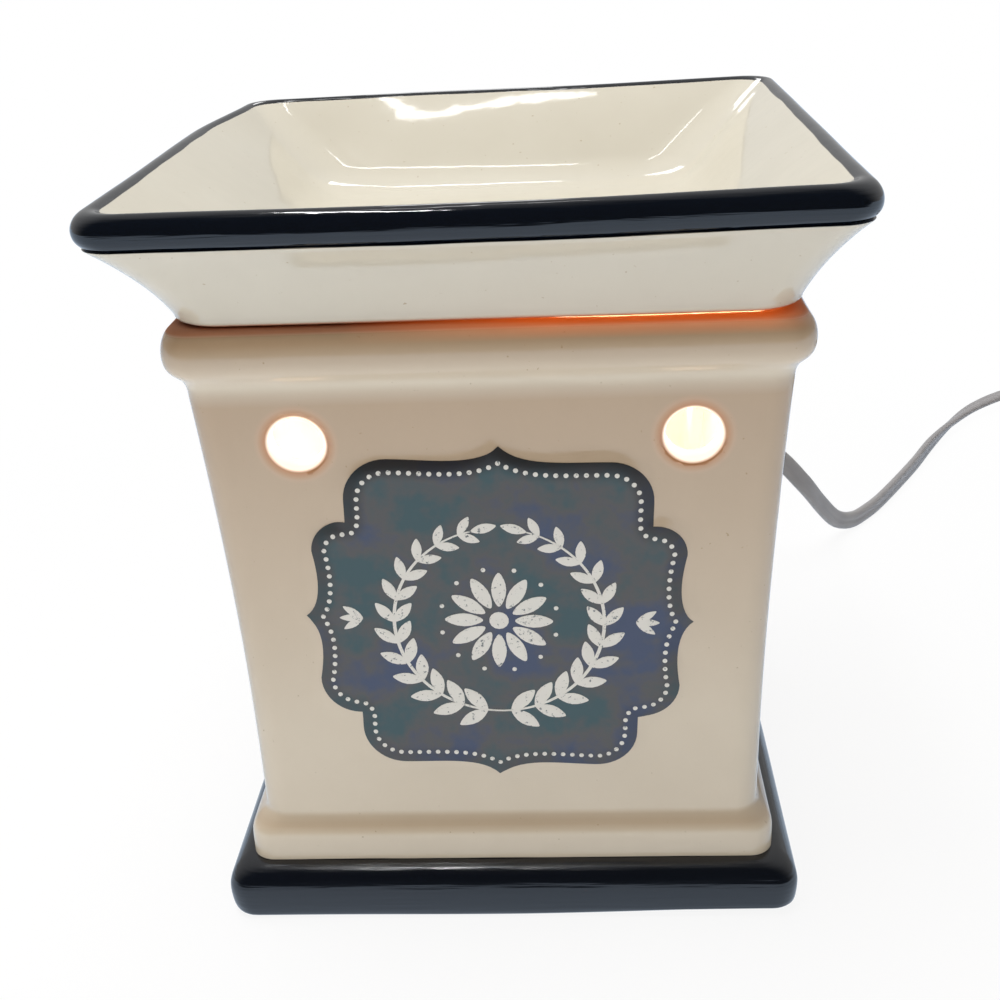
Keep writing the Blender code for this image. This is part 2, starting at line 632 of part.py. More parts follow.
def make_holder(phenolic, brass, steel, fibre):
    """Lamp holder with its contacts, clamped to the floor by a hollow nipple, washers and a nut."""
    outer, bore, socket = HOLDER_DIAMETER / 2, HOLDER_BORE / 2, NIPPLE_HOLE / 2
    holder = turned("holder_body", [
        (0, HOLDER_WEB_TOP), (bore, HOLDER_WEB_TOP), (bore, HOLDER_TOP), (outer, HOLDER_TOP),
        (outer, HOLDER_Z), (socket, HOLDER_Z), (socket, HOLDER_WEB_LOW), (0, HOLDER_WEB_LOW),
    ], phenolic)
    shell = bore - BORE_GAP
    shell_low = HOLDER_WEB_TOP + SHELL_ABOVE_WEB
    turned("screw_shell", tube_ring(shell, shell - SHELL_WALL, shell_low, HOLDER_TOP), brass, ring=True)
    contact, contact_low = CONTACT_DIAMETER / 2, HOLDER_WEB_TOP + SEAT_GAP
    turned("centre_contact", [
        (0, CONTACT_TOP), (contact - CONTACT_CHAMFER, CONTACT_TOP), (contact, CONTACT_TOP - CONTACT_CHAMFER),
        (contact, contact_low), (0, contact_low),
    ], brass)
    for name, side in (("terminal_screw_live", 1), ("terminal_screw_neutral", -1)):
        make_terminal_screw(name, side, holder, brass)
    nipple_low, nipple_top = COVER_NUT_LOW - NIPPLE_PAST_NUT, HOLDER_Z + NIPPLE_IN_HOLDER
    nipple = NIPPLE_DIAMETER / 2
    turned("nipple", tube_ring(nipple, nipple - NIPPLE_WALL, nipple_low, nipple_top), brass, ring=True)
    washers = (("holder_washer", FLOOR_TOP + SEAT_GAP, fibre), ("floor_washer", FLOOR_WASHER_LOW, steel))
    for name, low, finish in washers:
        turned(name, tube_ring(WASHER_DIAMETER / 2, socket, low, low + WASHER_THICKNESS), finish, ring=True)
    make_nut("lock_nut", LOCK_NUT_LOW, steel)


def make_terminal_screw(name, side, holder, brass):
    """Cheese-head screw in the holder's side, with its hole."""
    outer = HOLDER_DIAMETER / 2
    head_low, shank_end = outer + SEAT_GAP, outer - TERMINAL_DEPTH + SEAT_GAP
    head_top = head_low + TERMINAL_HEAD_HEIGHT
    head, shank = TERMINAL_HEAD / 2, TERMINAL_SHANK / 2
    hole_start = (side * (outer - TERMINAL_DEPTH), 0, TERMINAL_Z)
    hole_end = (2 * side * outer, 0, TERMINAL_Z)
    boolean(holder, cylinder_tool(f"{name}_tool", TERMINAL_SHANK + 2 * BORE_GAP, hole_start, hole_end, 12))
    screw = turned(name, [
        (0, head_top), (head, head_top), (head, head_low), (shank, head_low),
        (shank, shank_end), (0, shank_end),
    ], brass, steps=12)
    screw.rotation_euler = (0, side * math.pi / 2, 0)
    screw.location = (0, 0, TERMINAL_Z)


def make_bulb(nickel, black_glass, solder, glass, tungsten):
    """Globe bulb in its holder; everything here turns together about Z."""
    turn = new_object("bulb_axis", None)
    tip, cap = TIP_DIAMETER / 2, CAP_RADIUS
    tip_top = TIP_Z + TIP_HEIGHT
    turned("bulb_tip", [(0, tip_top), (tip, tip_top), (tip - TIP_CHAMFER, TIP_Z), (0, TIP_Z)], solder, turn)
    base = CAP_Z - SEAT_GAP
    base_low = base - INSULATOR_HEIGHT
    turned("bulb_insulator", [
        (0, base), (cap - CAP_CHAMFER, base), (tip + SEAT_GAP, base_low), (0, base_low),
    ], black_glass, turn)
    cap_floor = CAP_Z + CAP_BASE
    turned("bulb_cap", [
        (0, cap_floor), (cap - CAP_WALL, cap_floor), (cap - CAP_WALL, CAP_TOP), (cap, CAP_TOP),
        (cap, CAP_Z + CAP_CHAMFER_HEIGHT), (cap - CAP_CHAMFER, CAP_Z), (0, CAP_Z),
    ], nickel, turn)
    make_globe(cap_floor + GLASS_ABOVE_CAP_BASE, glass, turn)
    stem_z = cap_floor + SEAT_GAP
    stem_top = stem_z + STEM_HEIGHT
    stem, waist = STEM_DIAMETER / 2, STEM_WAIST / 2
    turned("bulb_stem", [
        (0, stem_top), (stem, stem_top), (waist, stem_z + STEM_HEIGHT / 2), (stem, stem_z), (0, stem_z),
    ], glass, turn, steps=12)
    foot = stem_top + SEAT_GAP
    top = foot + SUPPORT_HEIGHT
    wires = []
    for i, side in ((1, -1), (2, 1)):
        route = [(side * waist, 0, foot), (side * SUPPORT_SPREAD / 2, 0, top)]
        points = smooth_route(route, SUPPORT_HEIGHT / 4)
        wires.append(tube(f"bulb_wire_{i}", points, nickel, SUPPORT_WIRE, sides=1))
    reach = SUPPORT_SPREAD / 2 - SUPPORT_WIRE / 2 - SEAT_GAP
    points = [(reach * (i / 8 - 1), 0, top - FILAMENT_DROOP * math.sin(math.pi * i / 16)) for i in range(17)]
    wires.append(tube("bulb_filament", points, tungsten, FILAMENT_WIRE, sides=1))
    for wire in wires:
        wire.parent = turn


def make_globe(low, glass, turn):
    """Blown glass: a short neck in the cap that opens into a sphere."""
    neck, radius = CAP_RADIUS - CAP_WALL - GLASS_CEMENT, GLOBE_DIAMETER / 2
    start = math.degrees(math.asin(neck / radius)) + GLOBE_SHOULDER_ANGLE
    middle = HOLDER_TOP + GLOBE_NECK_RISE + radius * math.cos(math.radians(start))

    def wall(offset):
        points = [(neck - offset, low), (neck - offset, HOLDER_TOP + GLOBE_SHOULDER)]
        for half, z in arc((0, middle), (radius - offset, radius - offset), start - 90, 90, 12):
            points.append((max(half, 0), z))
        return points

    turned("bulb_globe", wall(0) + wall(GLASS_WALL)[::-1], glass, turn, ring=True)


def make_relief_and_leads(rubber, live, neutral):
    """Moulded strain relief through the back wall, and the two leads from it to the terminals."""
    wall_out = wall_half(CORD_EXIT_HEIGHT)
    neck, tip = RELIEF_NECK / 2, CORD_WIDTH / 2 + RELIEF_TIP_WALL
    root, flange, lip = neck + RELIEF_ROOT_STEP, neck + RELIEF_FLANGE_STEP, neck + RELIEF_LIP_STEP
    start = wall_out + SEAT_GAP
    flange_end, end = start + RELIEF_FLANGE_THICKNESS, start + RELIEF_LENGTH
    lip_start = wall_out - BODY_WALL - SEAT_GAP
    lip_end = lip_start - RELIEF_LIP_THICKNESS
    relief = turned("strain_relief", [
        (0, end), (tip, end), (root, flange_end), (flange, flange_end), (flange, start), (neck, start),
        (neck, lip_start), (lip, lip_start), (lip - RELIEF_LIP_CHAMFER, lip_end), (0, lip_end),
    ], rubber)
    relief.rotation_euler = (-math.pi / 2, 0, 0)
    relief.location = (0, 0, CORD_EXIT_HEIGHT)
    inside = lip_end - SEAT_GAP
    reach = HOLDER_DIAMETER / 2 + TERMINAL_HEAD_HEIGHT + 2 * SEAT_GAP + LEAD_DIAMETER / 2
    for name, side, finish in (("lead_live", 1, live), ("lead_neutral", -1, neutral)):
        x = side * LEAD_SPACING / 2
        route = [(x, inside, CORD_EXIT_HEIGHT), (x, inside - LEAD_STRAIGHT, CORD_EXIT_HEIGHT),
                 (side * 0.0026, 0.0305, 0.0390), (side * 0.0129, 0.0157, TERMINAL_Z + LEAD_ARCH),
                 (side * reach, 0.0049, TERMINAL_Z), (side * reach, 0, TERMINAL_Z)]
        tube(name, smooth_route(route, LEAD_POINT_SPACING), finish, LEAD_DIAMETER)
    return Vector((0, end + SEAT_GAP, CORD_EXIT_HEIGHT))


def make_cord_run(flex, exit_point):
    """From the strain relief down to the table, out to the right and into the switch."""
    x, y, z = exit_point
    floor = CORD_WIDTH / 2
    into = SWITCH_PLACE[0] - SWITCH_LENGTH / 2 - SEAT_GAP
    route = [
        (x, y, z), (x, y + 0.008, z), (0.006, 0.106, 0.0499), (0.024, 0.1165, 0.0497),
        (0.048, 0.1165, 0.0491), (0.068, 0.1128, 0.0471), (0.0825, 0.1122, 0.0418), (0.0940, 0.1170, 0.0290),
        (0.1022, 0.1255, 0.0168), (0.1092, 0.1335, 0.0076), (0.1160, 0.1403, 0.0038), (0.1224, 0.1478, floor),
        (0.1312, 0.1600, floor), (0.1495, 0.1905, floor), (0.1620, 0.2135, floor), (0.1760, 0.2360, floor),
        (0.1900, 0.2530, 0.0040), (0.2050, 0.2620, 0.0062),
        (into - LEAD_IN, SWITCH_PLACE[1], SWITCH_SPLIT), (into, SWITCH_PLACE[1], SWITCH_SPLIT),
    ]
    points = smooth_route(route, 2 * CORD_WIDTH)
    tilts = twist(len(points), 0.0, math.pi / 2, 0.72, 0.95)
    tube("cord_run", points, flex, CORD_THICKNESS, CORD_WIDTH, tilts)


def coil_points():
    """The coil's middle line: in along the lower layer, up half a turn, and out along the upper one."""
    layer = COIL_TURNS_PER_LAYER * TURN
    climb = COIL_CLIMB_TURNS * TURN
    total = 2 * layer + climb
    count = round(total / TURN * COIL_POINTS_PER_TURN)
    low = COIL_LOW + CORD_WIDTH / 2
    points = []
    for i in range(count + 1):
        angle = total * i / count
        wound = min(angle, total - angle)
        radius = COIL_RADIUS - COIL_PITCH * wound / TURN
        share = min(1.0, max(0.0, (angle - layer) / climb))
        rise = COIL_CLIMB * share * share * (3 - 2 * share)
        points.append(COIL_CENTRE + Vector((radius * math.cos(angle), -radius * math.sin(angle), low + rise)))
    lead_in = Vector((0, CORD_WIDTH, 0))
    return [points[0] + lead_in] + points + [points[-1] - lead_in]


def least_coil_gap(points):
    """Least clear distance between turns of a flat lead that stands on edge."""
    upright = CORD_WIDTH - CORD_THICKNESS
    least = 1.0
    skip = COIL_POINTS_PER_TURN // 3
    for i, a in enumerate(points):
        for b in points[i + skip:]:
            across = math.hypot(a.x - b.x, a.y - b.y)
            above = max(0.0, abs(a.z - b.z) - upright)
            least = min(least, math.hypot(across, above) - CORD_THICKNESS)
    return least


def make_coil_and_tie(flex, tie):
    coil = coil_points()
    print(f"least gap in the coil: {least_coil_gap(coil) * 1000:.2f} mm")
    tube("cord_coil", coil, flex, CORD_THICKNESS, CORD_WIDTH, sides=1)
    side = CORD_THICKNESS / 2 + SEAT_GAP
    inner = COIL_RADIUS - COIL_PITCH * (COIL_TURNS_PER_LAYER + COIL_CLIMB_TURNS / 2) - side
    outer = COIL_RADIUS + side
    low, high = COIL_LOW - SEAT_GAP, COIL_LOW + CORD_WIDTH + COIL_CLIMB + SEAT_GAP
    bm = bmesh.new()
    rings = []
    for half_y in (-TIE_WIDTH / 2, TIE_WIDTH / 2):
        for grow in (0.0, TIE_THICKNESS):
            rings.append(ring_of(bm, [
                (inner - grow, half_y, low - grow), (outer + grow, half_y, low - grow),
                (outer + grow, half_y, high + grow), (inner - grow, half_y, high + grow),
            ]))
    for a, b in ((0, 1), (1, 3), (3, 2), (2, 0)):
        skin(bm, rings[a], rings[b])
    strap = finish_mesh(bm, "cord_tie", [tie], smooth=False)
    strap.location = COIL_CENTRE
    strap.rotation_euler = (0, 0, TIE_ANGLE)
    return coil


def make_cord_link(flex, coil):
    """From the switch round into the coil's lower layer."""
    out_of = SWITCH_PLACE[0] + SWITCH_LENGTH / 2 + SEAT_GAP
    y, z = SWITCH_PLACE[1], SWITCH_SPLIT
    end = coil[0] + Vector((0, SEAT_GAP, 0))
    route = [(out_of, y, z), (out_of + LEAD_IN, y, z), (0.2918, 0.2600, 0.0065), (0.3000, 0.2495, 0.0050),
             (end.x, 0.2340, 0.0044), (end.x, end.y + CORD_WIDTH, end.z), tuple(end)]
    points = smooth_route(route, 2 * CORD_THICKNESS)
    tilts = twist(len(points), math.pi / 2, 0.0, 0.1, 0.75)
    tube("cord_link", points, flex, CORD_THICKNESS, CORD_WIDTH, tilts)


def make_plug(flex, rubber, brass, coil):
    """From the coil's upper layer to a two-blade plug that lies beside it."""
    start = coil[-1] - Vector((0, SEAT_GAP, 0))
    plug_y = start.y - PLUG_FROM_COIL
    middle = PLUG_HEIGHT / 2
    route = [tuple(start), (start.x, start.y - CORD_WIDTH, start.z),
             (start.x, plug_y + CORD_WIDTH + SEAT_GAP, middle), (start.x, plug_y + SEAT_GAP, middle)]
    points = smooth_route(route, CORD_THICKNESS)
    tilts = twist(len(points), 0.0, math.pi / 2, 0.1, 0.9)
    tube("cord_tail", points, flex, CORD_THICKNESS, CORD_WIDTH, tilts)
    place = new_object("plug_place", None)
    place.location = (start.x, plug_y, middle)
    neck, full = (PLUG_NECK_WIDTH / 2, PLUG_NECK_HEIGHT / 2), (PLUG_WIDTH / 2, PLUG_HEIGHT / 2)
    sections = []
    for along, half in ((0, neck), (PLUG_NECK_LENGTH, neck), (PLUG_SHOULDER, full), (PLUG_LENGTH, full)):
        outline = rounded_rectangle(*half, PLUG_CORNER, 0)
        sections.append([Vector((p.x, -along, p.y)) for p in outline])
    loft("plug_body", sections, [rubber], place)
    face = -PLUG_LENGTH - SEAT_GAP
    for i, side in ((1, -1), (2, 1)):
        x = side * BLADE_SPACING / 2
        block(f"plug_blade_{i}", (x - BLADE_THICKNESS / 2, face - BLADE_LENGTH, -BLADE_WIDTH / 2),
              (x + BLADE_THICKNESS / 2, face, BLADE_WIDTH / 2), brass, place)


def make_switch(plastic, wheel_plastic, brass, steel):
    """Two-part housing with a thumb wheel that turns on a pin and shows at one side."""
    place = new_object("switch_place", None)
    place.location = (*SWITCH_PLACE, 0)
    outside = (SWITCH_LENGTH / 2, SWITCH_WIDTH / 2, SWITCH_ROUND)
    inside = tuple(size - SWITCH_WALL for size in outside)
    lid = SWITCH_HEIGHT - SWITCH_WALL
    shells = {}
    for name, low, edge, split, floor in (
            ("switch_lower", 0.0, SWITCH_WALL, SWITCH_SPLIT - SEAT_GAP / 2, SWITCH_WALL),
            ("switch_upper", SWITCH_HEIGHT, lid, SWITCH_SPLIT + SEAT_GAP / 2, lid)):
        levels = ((inside, low), (outside, edge), (outside, split), (inside, split), (inside, floor))
        sections = [rounded_rectangle(*outline, z) for outline, z in levels]
        shells[name] = loft(name, sections, [plastic], place)
    add_switch_posts(shells, place)
    slot = WHEEL_DIAMETER / 2 + BORE_GAP
    slot_low = SWITCH_SPLIT - WHEEL_THICKNESS / 2 - BORE_GAP
    slot_top = SWITCH_SPLIT + WHEEL_THICKNESS / 2 + BORE_GAP
    for name, shell in shells.items():
        profile = [(0, slot_top), (slot, slot_top), (slot, slot_low), (0, slot_low)]
        tool = turned(f"{name}_wheel_tool", profile, plastic, place, steps=48)
        tool.location = (0, WHEEL_Y, 0)
        boolean(shell, tool)
    make_wheel(wheel_plastic, brass, place)
    strip_z = SWITCH_WALL + SEAT_GAP
    strip_y = WHEEL_Y + WHEEL_DIAMETER / 2
    for i, side in ((1, -1), (2, 1)):
        x = side * STRIP_FROM_MIDDLE
        block(f"switch_contact_{i}", (x - STRIP_LENGTH / 2, strip_y - STRIP_WIDTH, strip_z),
              (x + STRIP_LENGTH / 2, strip_y, strip_z + STRIP_THICKNESS), brass, place)
        make_switch_screw(f"switch_screw_{i}", side, shells, steel, place)


def add_switch_posts(shells, place):
    """Posts for the screws and sockets for the wheel's pin, grown from both shells."""
    screw_post_top = SWITCH_SPLIT - SEAT_GAP / 2
    spots = [(side * SWITCH_SCREW_SPACING / 2, 0, SWITCH_POST, screw_post_top) for side in (-1, 1)]
    spots.append((0, WHEEL_Y, AXLE_DIAMETER + 2 * SWITCH_WALL, AXLE_POST_TOP))
    in_floor = SWITCH_WALL / 2
    for name, base, up in (("switch_lower", 0.0, 1), ("switch_upper", SWITCH_HEIGHT, -1)):
        for k, (x, y, diameter, height) in enumerate(spots):
            low, high = base + up * in_floor, base + up * height
            post = cylinder_tool(f"{name}_post_{k}", diameter, (x, y, low), (x, y, high), 16)
            post.parent = place
            boolean(shells[name], post, "UNION")
        socket_end = base + up * (AXLE_POST_TOP - AXLE_SOCKET)
        bore = cylinder_tool(f"{name}_axle_tool", AXLE_DIAMETER + 2 * BORE_GAP,
                             (0, WHEEL_Y, socket_end), (0, WHEEL_Y, SWITCH_SPLIT), 16)
        bore.parent = place
        boolean(shells[name], bore)


def make_wheel(wheel_plastic, brass, place):
    """Ribbed thumb wheel with its pin; the wheel's origin is on the pin's axis."""
    axis = new_object("wheel_axis", None, place)
    axis.location = (0, WHEEL_Y, SWITCH_SPLIT)
    outer, bore = WHEEL_DIAMETER / 2, AXLE_DIAMETER / 2 + BORE_GAP
    count = 2 * WHEEL_RIBS
    bm = bmesh.new()
    rings = []
    for z in (-WHEEL_THICKNESS / 2, WHEEL_THICKNESS / 2):
        for radius, groove in ((outer, WHEEL_GROOVE), (bore, 0.0)):
            points = []
            for i in range(count):
                angle, r = TURN * i / count, radius - groove * (i % 2)
                points.append((r * math.cos(angle), r * math.sin(angle), z))
            rings.append(ring_of(bm, points))
    for a, b in ((0, 1), (1, 3), (3, 2), (2, 0)):
        skin(bm, rings[a], rings[b])
    finish_mesh(bm, "switch_wheel", [wheel_plastic], axis, smooth=False)
    low = AXLE_POST_TOP - AXLE_SOCKET + SEAT_GAP
    top, radius = SWITCH_HEIGHT - low, AXLE_DIAMETER / 2
    pin = turned("switch_axle", [(0, top), (radius, top), (radius, low), (0, low)], brass, place, steps=16)
    pin.location = (0, WHEEL_Y, 0)


def make_switch_screw(name, side, shells, steel, place):
    """Countersunk screw from below through the lower post into the upper one."""
    x = side * SWITCH_SCREW_SPACING / 2
    shank, head = SWITCH_SCREW_SHANK / 2, SWITCH_SCREW_HEAD / 2
    end = SWITCH_HEIGHT - SWITCH_WALL - SEAT_GAP
    sunk = SWITCH_SCREW_SUNK
    screw = turned(name, [
        (0, end), (shank, end), (shank, sunk), (head, sunk), (head, SEAT_GAP), (0, SEAT_GAP),
    ], steel, place, steps=12)
    screw.location = (x, 0, 0)
    wide, narrow, deep, seat = head + BORE_GAP, shank + BORE_GAP, end + SEAT_GAP, sunk + SEAT_GAP
    bore = [(0, deep), (narrow, deep), (narrow, seat), (wide, seat), (wide, -SWITCH_WALL), (0, -SWITCH_WALL)]
    for shell_name, shell in shells.items():
        tool = turned(f"{name}_{shell_name}_tool", bore, steel, place, steps=12)
        tool.location = (x, 0, 0)
        boolean(shell, tool)


def main():
    for old in list(bpy.data.objects):
        bpy.data.objects.remove(old)
    cream = material("cream_glaze", "cfc0a6", 0.12)
    dark = material("black_glaze", "14191c", 0.12)
    rubber = material("clear_grey_rubber", "b9babb", 0.55)
    brass = material("brass", "b08d4a", 0.3, 1.0)
    steel = material("zinc_steel", "b4b7ba", 0.35, 1.0)
    white = material("white_vinyl", "c9cacb", 0.42)
    make_body(cream, dark)
    make_dish(cream, dark)
    make_feet_and_cover(rubber, material("fibre_board", "3a3431", 0.8), steel)
    make_holder(material("phenolic", "1d1a18", 0.4), brass, steel, material("vulcan_fibre", "7a3a28", 0.7))
    make_bulb(material("nickel", "c4c1ba", 0.25, 1.0), material("black_glass", "0b0b0d", 0.2),
              material("solder", "9a9a98", 0.4, 1.0), material("frosted_glass", "f3efe6", 0.5),
              material("tungsten", "5a5752", 0.4, 1.0))
    brown, blue = material("brown_wire", "5b3a22", 0.5), material("blue_wire", "2d4a7a", 0.5)
    exit_point = make_relief_and_leads(white, brown, blue)
    make_cord_run(white, exit_point)
    coil = make_coil_and_tie(white, material("black_tie", "1b1b1c", 0.6))
    make_cord_link(white, coil)
    make_plug(white, white, brass, coil)
    make_switch(white, material("grey_wheel", "8d8f91", 0.45), brass, steel)


main()
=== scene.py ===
"""Looks of the electric wax warmer: glazed earthenware, chalkboard plaque, lit bulb and switched lead.

Metres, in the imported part's frame: +Z up, the front faces -Y and the table is z = 0.
"""
import math

import bmesh
import bpy
from mathutils import Matrix, Vector, kdtree, noise


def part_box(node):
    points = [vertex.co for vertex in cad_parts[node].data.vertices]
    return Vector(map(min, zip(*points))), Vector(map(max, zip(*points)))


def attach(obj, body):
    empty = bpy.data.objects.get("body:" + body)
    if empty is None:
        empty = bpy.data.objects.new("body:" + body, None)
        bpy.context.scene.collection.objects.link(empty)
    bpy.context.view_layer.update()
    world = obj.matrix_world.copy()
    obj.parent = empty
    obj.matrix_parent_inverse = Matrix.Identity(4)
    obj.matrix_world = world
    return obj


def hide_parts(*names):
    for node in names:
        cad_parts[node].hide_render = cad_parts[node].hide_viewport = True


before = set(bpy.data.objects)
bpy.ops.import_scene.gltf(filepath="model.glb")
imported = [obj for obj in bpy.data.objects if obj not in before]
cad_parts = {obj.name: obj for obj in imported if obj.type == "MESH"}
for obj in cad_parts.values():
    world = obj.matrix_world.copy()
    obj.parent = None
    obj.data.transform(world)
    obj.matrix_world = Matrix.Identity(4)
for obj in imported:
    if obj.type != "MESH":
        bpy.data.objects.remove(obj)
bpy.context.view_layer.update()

MM = 0.001
TURN = 2 * math.pi

# Earthenware body: half widths and heights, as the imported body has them
BODY_LOW, BODY_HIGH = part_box("body_shell")
BASE_Z = BODY_LOW.z
BODY_TOP = BODY_HIGH.z
PLINTH_HALF = BODY_HIGH.x
PLINTH_TOP = BASE_Z + 0.0107
PLINTH_BULGE = BASE_Z + 0.0043
PLINTH_EDGE = 0.0011
PLINTH_CORNER = 0.0055
LIP_DROP = 0.0017  # of the plinth's outer edge, which hides the feet
LIP_INSET = 0.0022
LIP_RISE = 0.8  # share of that drop which firing took back at the right
SKIRT_HALF = 0.0603
NECK_HALF = 0.0570
NECK_Z = PLINTH_TOP + 0.0105
WALL_TOP_HALF = 0.0608
WALL_TOP = NECK_Z + 0.1026
BODY_CORNER = 0.0058
BODY_WALL = 0.0050
COLLAR_LOW = WALL_TOP + 0.0039
COLLAR_ROLL = 0.0027
COVE_REACH = 0.0056  # pull of the cove's ogee at each end
SEAT_OUTER = 0.0615
SEAT_INNER = 0.0553
SEAT_WARP = 0.0006  # how far firing drew the seat down at its front right
FLOOR_TOP = 0.0160
FLOOR_LOW = 0.0110
CAVITY_FILLET = 0.0040
LEDGE_HALF = 0.0552
LEDGE_Z = BASE_Z + 0.0042
RECESS_HALF = 0.0522
CORD_HOLE_RADIUS = 0.0048
NIPPLE_HOLE_RADIUS = 0.0052
HOLE_EASE = 0.0004

# Light holes and plaque in the front wall
LIGHT_HOLE_RADIUS = 0.0056
LIGHT_HOLE_PLACES = (-0.0391, 0.0406)  # left and right of the middle
LIGHT_HOLE_Z = 0.1162
LIGHT_HOLE_EASE = 0.0010
PLAQUE_Z = 0.0745
PLAQUE_HALF_WIDTH = 0.0414
PLAQUE_HALF_HEIGHT = 0.0403
PLAQUE_SIDE_POINT = 0.0022
PLAQUE_TOP_POINT = 0.0031
PLAQUE_TOP_NOTCH_IN = 0.0096
PLAQUE_TOP_NOTCH_DOWN = 0.0175
PLAQUE_TOP_SIDE_CORNER = 0.0068
PLAQUE_FOOT_NOTCH_IN = 0.0110
PLAQUE_FOOT_NOTCH_UP = 0.0162
PLAQUE_FOOT_SIDE_CORNER = 0.0084
PLAQUE_CROWN_CORNER = 0.0090
PLAQUE_RISE = 0.0009
PLAQUE_SHOULDER = 0.0026  # soft slope outside and inside its outline, up to the plaque's face
PRINT_TURN = math.radians(-2.2)  # the print was laid a little askew
PRINT_LIFT = 0.00010  # fired print above the glaze
CHALK_LIFT = 1.8 * PRINT_LIFT
CHALK_THICKNESS = 1.6 * PRINT_LIFT
SPRAY_RADIUS = 0.0225  # of the wreath's two leafy sprays

# Wax dish
DISH_LOW, DISH_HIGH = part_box("wax_dish")
DISH_Z = DISH_LOW.z
DISH_TOP = DISH_HIGH.z
RIM_HALF = DISH_HIGH.x
DISH_BASE_HALF = 0.0620
DISH_BASE_EDGE = 0.0016
DISH_BASE_CORNER = 0.0095
DISH_FLOOR_Z = DISH_Z + 0.0057
DISH_FLOOR_HALF = 0.0370  # its level part
DISH_FLOOR_CORNER = 0.0120
DISH_FILLET = 0.0220
DISH_WALL_SLOPE = 41  # degrees, where the wall leaves the fillet
DISH_SAG = 0.0010
RIM_THICKNESS = 0.0056
RIM_LOW = DISH_TOP - 0.0072
RIM_STEP = 0.0012
RIM_CORNER = 0.0070
RIM_TIP = 0.0009  # back up and front down, from firing
RIM_LIFT = 0.0002
RIM_CORNER_DRAW = 0.0046  # of its back left corner, inwards
RIM_CORNER_REACH = 0.8  # how far the draw reaches, as a share of the rim's half width
RIM_LEAN = -0.0010  # to the left
RIM_RIGHT_UP = 0.0010
RIM_PAINT_INSET = 0.0018  # dark glaze inside the rim's crest

# Flat twin lead: its route, listed where it isn't coiled, and the coil's counts
CORD_WIDTH = 0.0062
CORD_THICKNESS = 0.0031
CORD_GROOVE = 0.32  # share of the thickness that the groove between the cores takes
RELIEF_END = Vector((0.0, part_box("strain_relief")[1].y + 0.0003, 0.0500))
SWITCH_LOW, SWITCH_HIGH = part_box("switch_lower")
SWITCH_MIDDLE = Vector((0.2480, 0.2640, 0.0075))
COIL_CENTRE = Vector((0.2620, 0.2050, 0.0))
COIL_RADIUS = 0.0406
COIL_PITCH = 0.0037
COIL_TURNS_PER_LAYER = 2.75
COIL_CLIMB_TURNS = 0.5
COIL_CLIMB = 0.0068
COIL_LOW = 0.0013
COIL_POINTS_PER_TURN = 48
TIE_ANGLE = math.radians(200)  # of the strap round the coil
PLUG_FACE_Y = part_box("plug_body")[1].y

# Moulded bars on the plug and the strap's end
BAR_ROUND = 0.25 * MM

# Light of the bulb, and the dim room in front as glaze mirrors it
LAMP_GLOW = 24.0
LAMP_COLOUR = "#FFE6CB"
ROOM_COLOUR = "#3C3E42"

# Camera
CAMERA_PLACE = (0.01705, -0.31484, 0.2152)
CAMERA_LENS = 49.25
CAMERA_YAW = math.radians(3.493)
CAMERA_PITCH = math.radians(23.735)
CAMERA_ROLL = math.radians(2.694)


def colour(hex_text):
    """An sRGB hex colour as linear RGBA."""
    parts = [int(hex_text[i:i + 2], 16) / 255 for i in (1, 3, 5)]
    return [p / 12.92 if p <= 0.04045 else ((p + 0.055) / 1.055) ** 2.4 for p in parts] + [1.0]


def add(tree, kind, inputs=None, **settings):
    """Add a shader node with its settings, its input values and the links into it."""
    node = tree.nodes.new("ShaderNode" + kind)
    for name, value in settings.items():
        setattr(node, name, value)
    for name, value in (inputs or {}).items():
        if isinstance(value, bpy.types.NodeSocket):
            tree.links.new(value, node.inputs[name])
        else:
            node.inputs[name].default_value = value
    return node


def start_material(name):
    """A new material with its node tree, its main shader and the piece's own coordinates."""
    made = bpy.data.materials.new(name)
    made.use_nodes = True
    tree = made.node_tree
    shader = tree.nodes["Principled BSDF"]
    place = add(tree, "TexCoord").outputs["Object"]
    return made, tree, shader, place


def ease(share):
    """Smooth step from 0 to 1."""
    share = min(1.0, max(0.0, share))
    return share * share * (3 - 2 * share)


def arc(centre, radii, start, end, steps):
    """Points of an ellipse's arc in degrees, as (half width, height) pairs."""
    for i in range(steps + 1):
        angle = math.radians(start + (end - start) * i / steps)
        yield centre[0] + radii[0] * math.cos(angle), centre[1] + radii[1] * math.sin(angle)


def bezier(a, b, c, d, steps):
    """Points of a cubic curve after its first one."""
    for i in range(1, steps + 1):
        t = i / steps
        weights = ((1 - t) ** 3, 3 * (1 - t) ** 2 * t, 3 * (1 - t) * t ** 2, t ** 3)
        yield tuple(sum(w * p[k] for w, p in zip(weights, (a, b, c, d))) for k in (0, 1))


def rippled(radius, dip, low, high, count, steps):
    """(radius, height) points of a thread or of grip rings, from crest to crest between two heights."""
    for i in range(count * steps + 1):
        share = i / (count * steps)
        groove = dip * (0.5 - 0.5 * math.cos(TURN * share * count))
        yield radius - groove, low + (high - low) * share


def evenly(points, spacing, closed=False):
    """Evenly spaced points along a line of points; a closed line leaves out its last."""
    lengths = [0.0]
    for a, b in zip(points, points[1:]):
        lengths.append(lengths[-1] + (b - a).length)
    count = max(2, round(lengths[-1] / spacing))
    out = []
    k = 0
    for i in range(count if closed else count + 1):
        want = lengths[-1] * i / count
        while k < len(lengths) - 2 and lengths[k + 1] < want:
            k += 1
        share = (want - lengths[k]) / max(lengths[k + 1] - lengths[k], 1e-12)
        out.append(points[k].lerp(points[k + 1], min(1.0, share)))
    return out


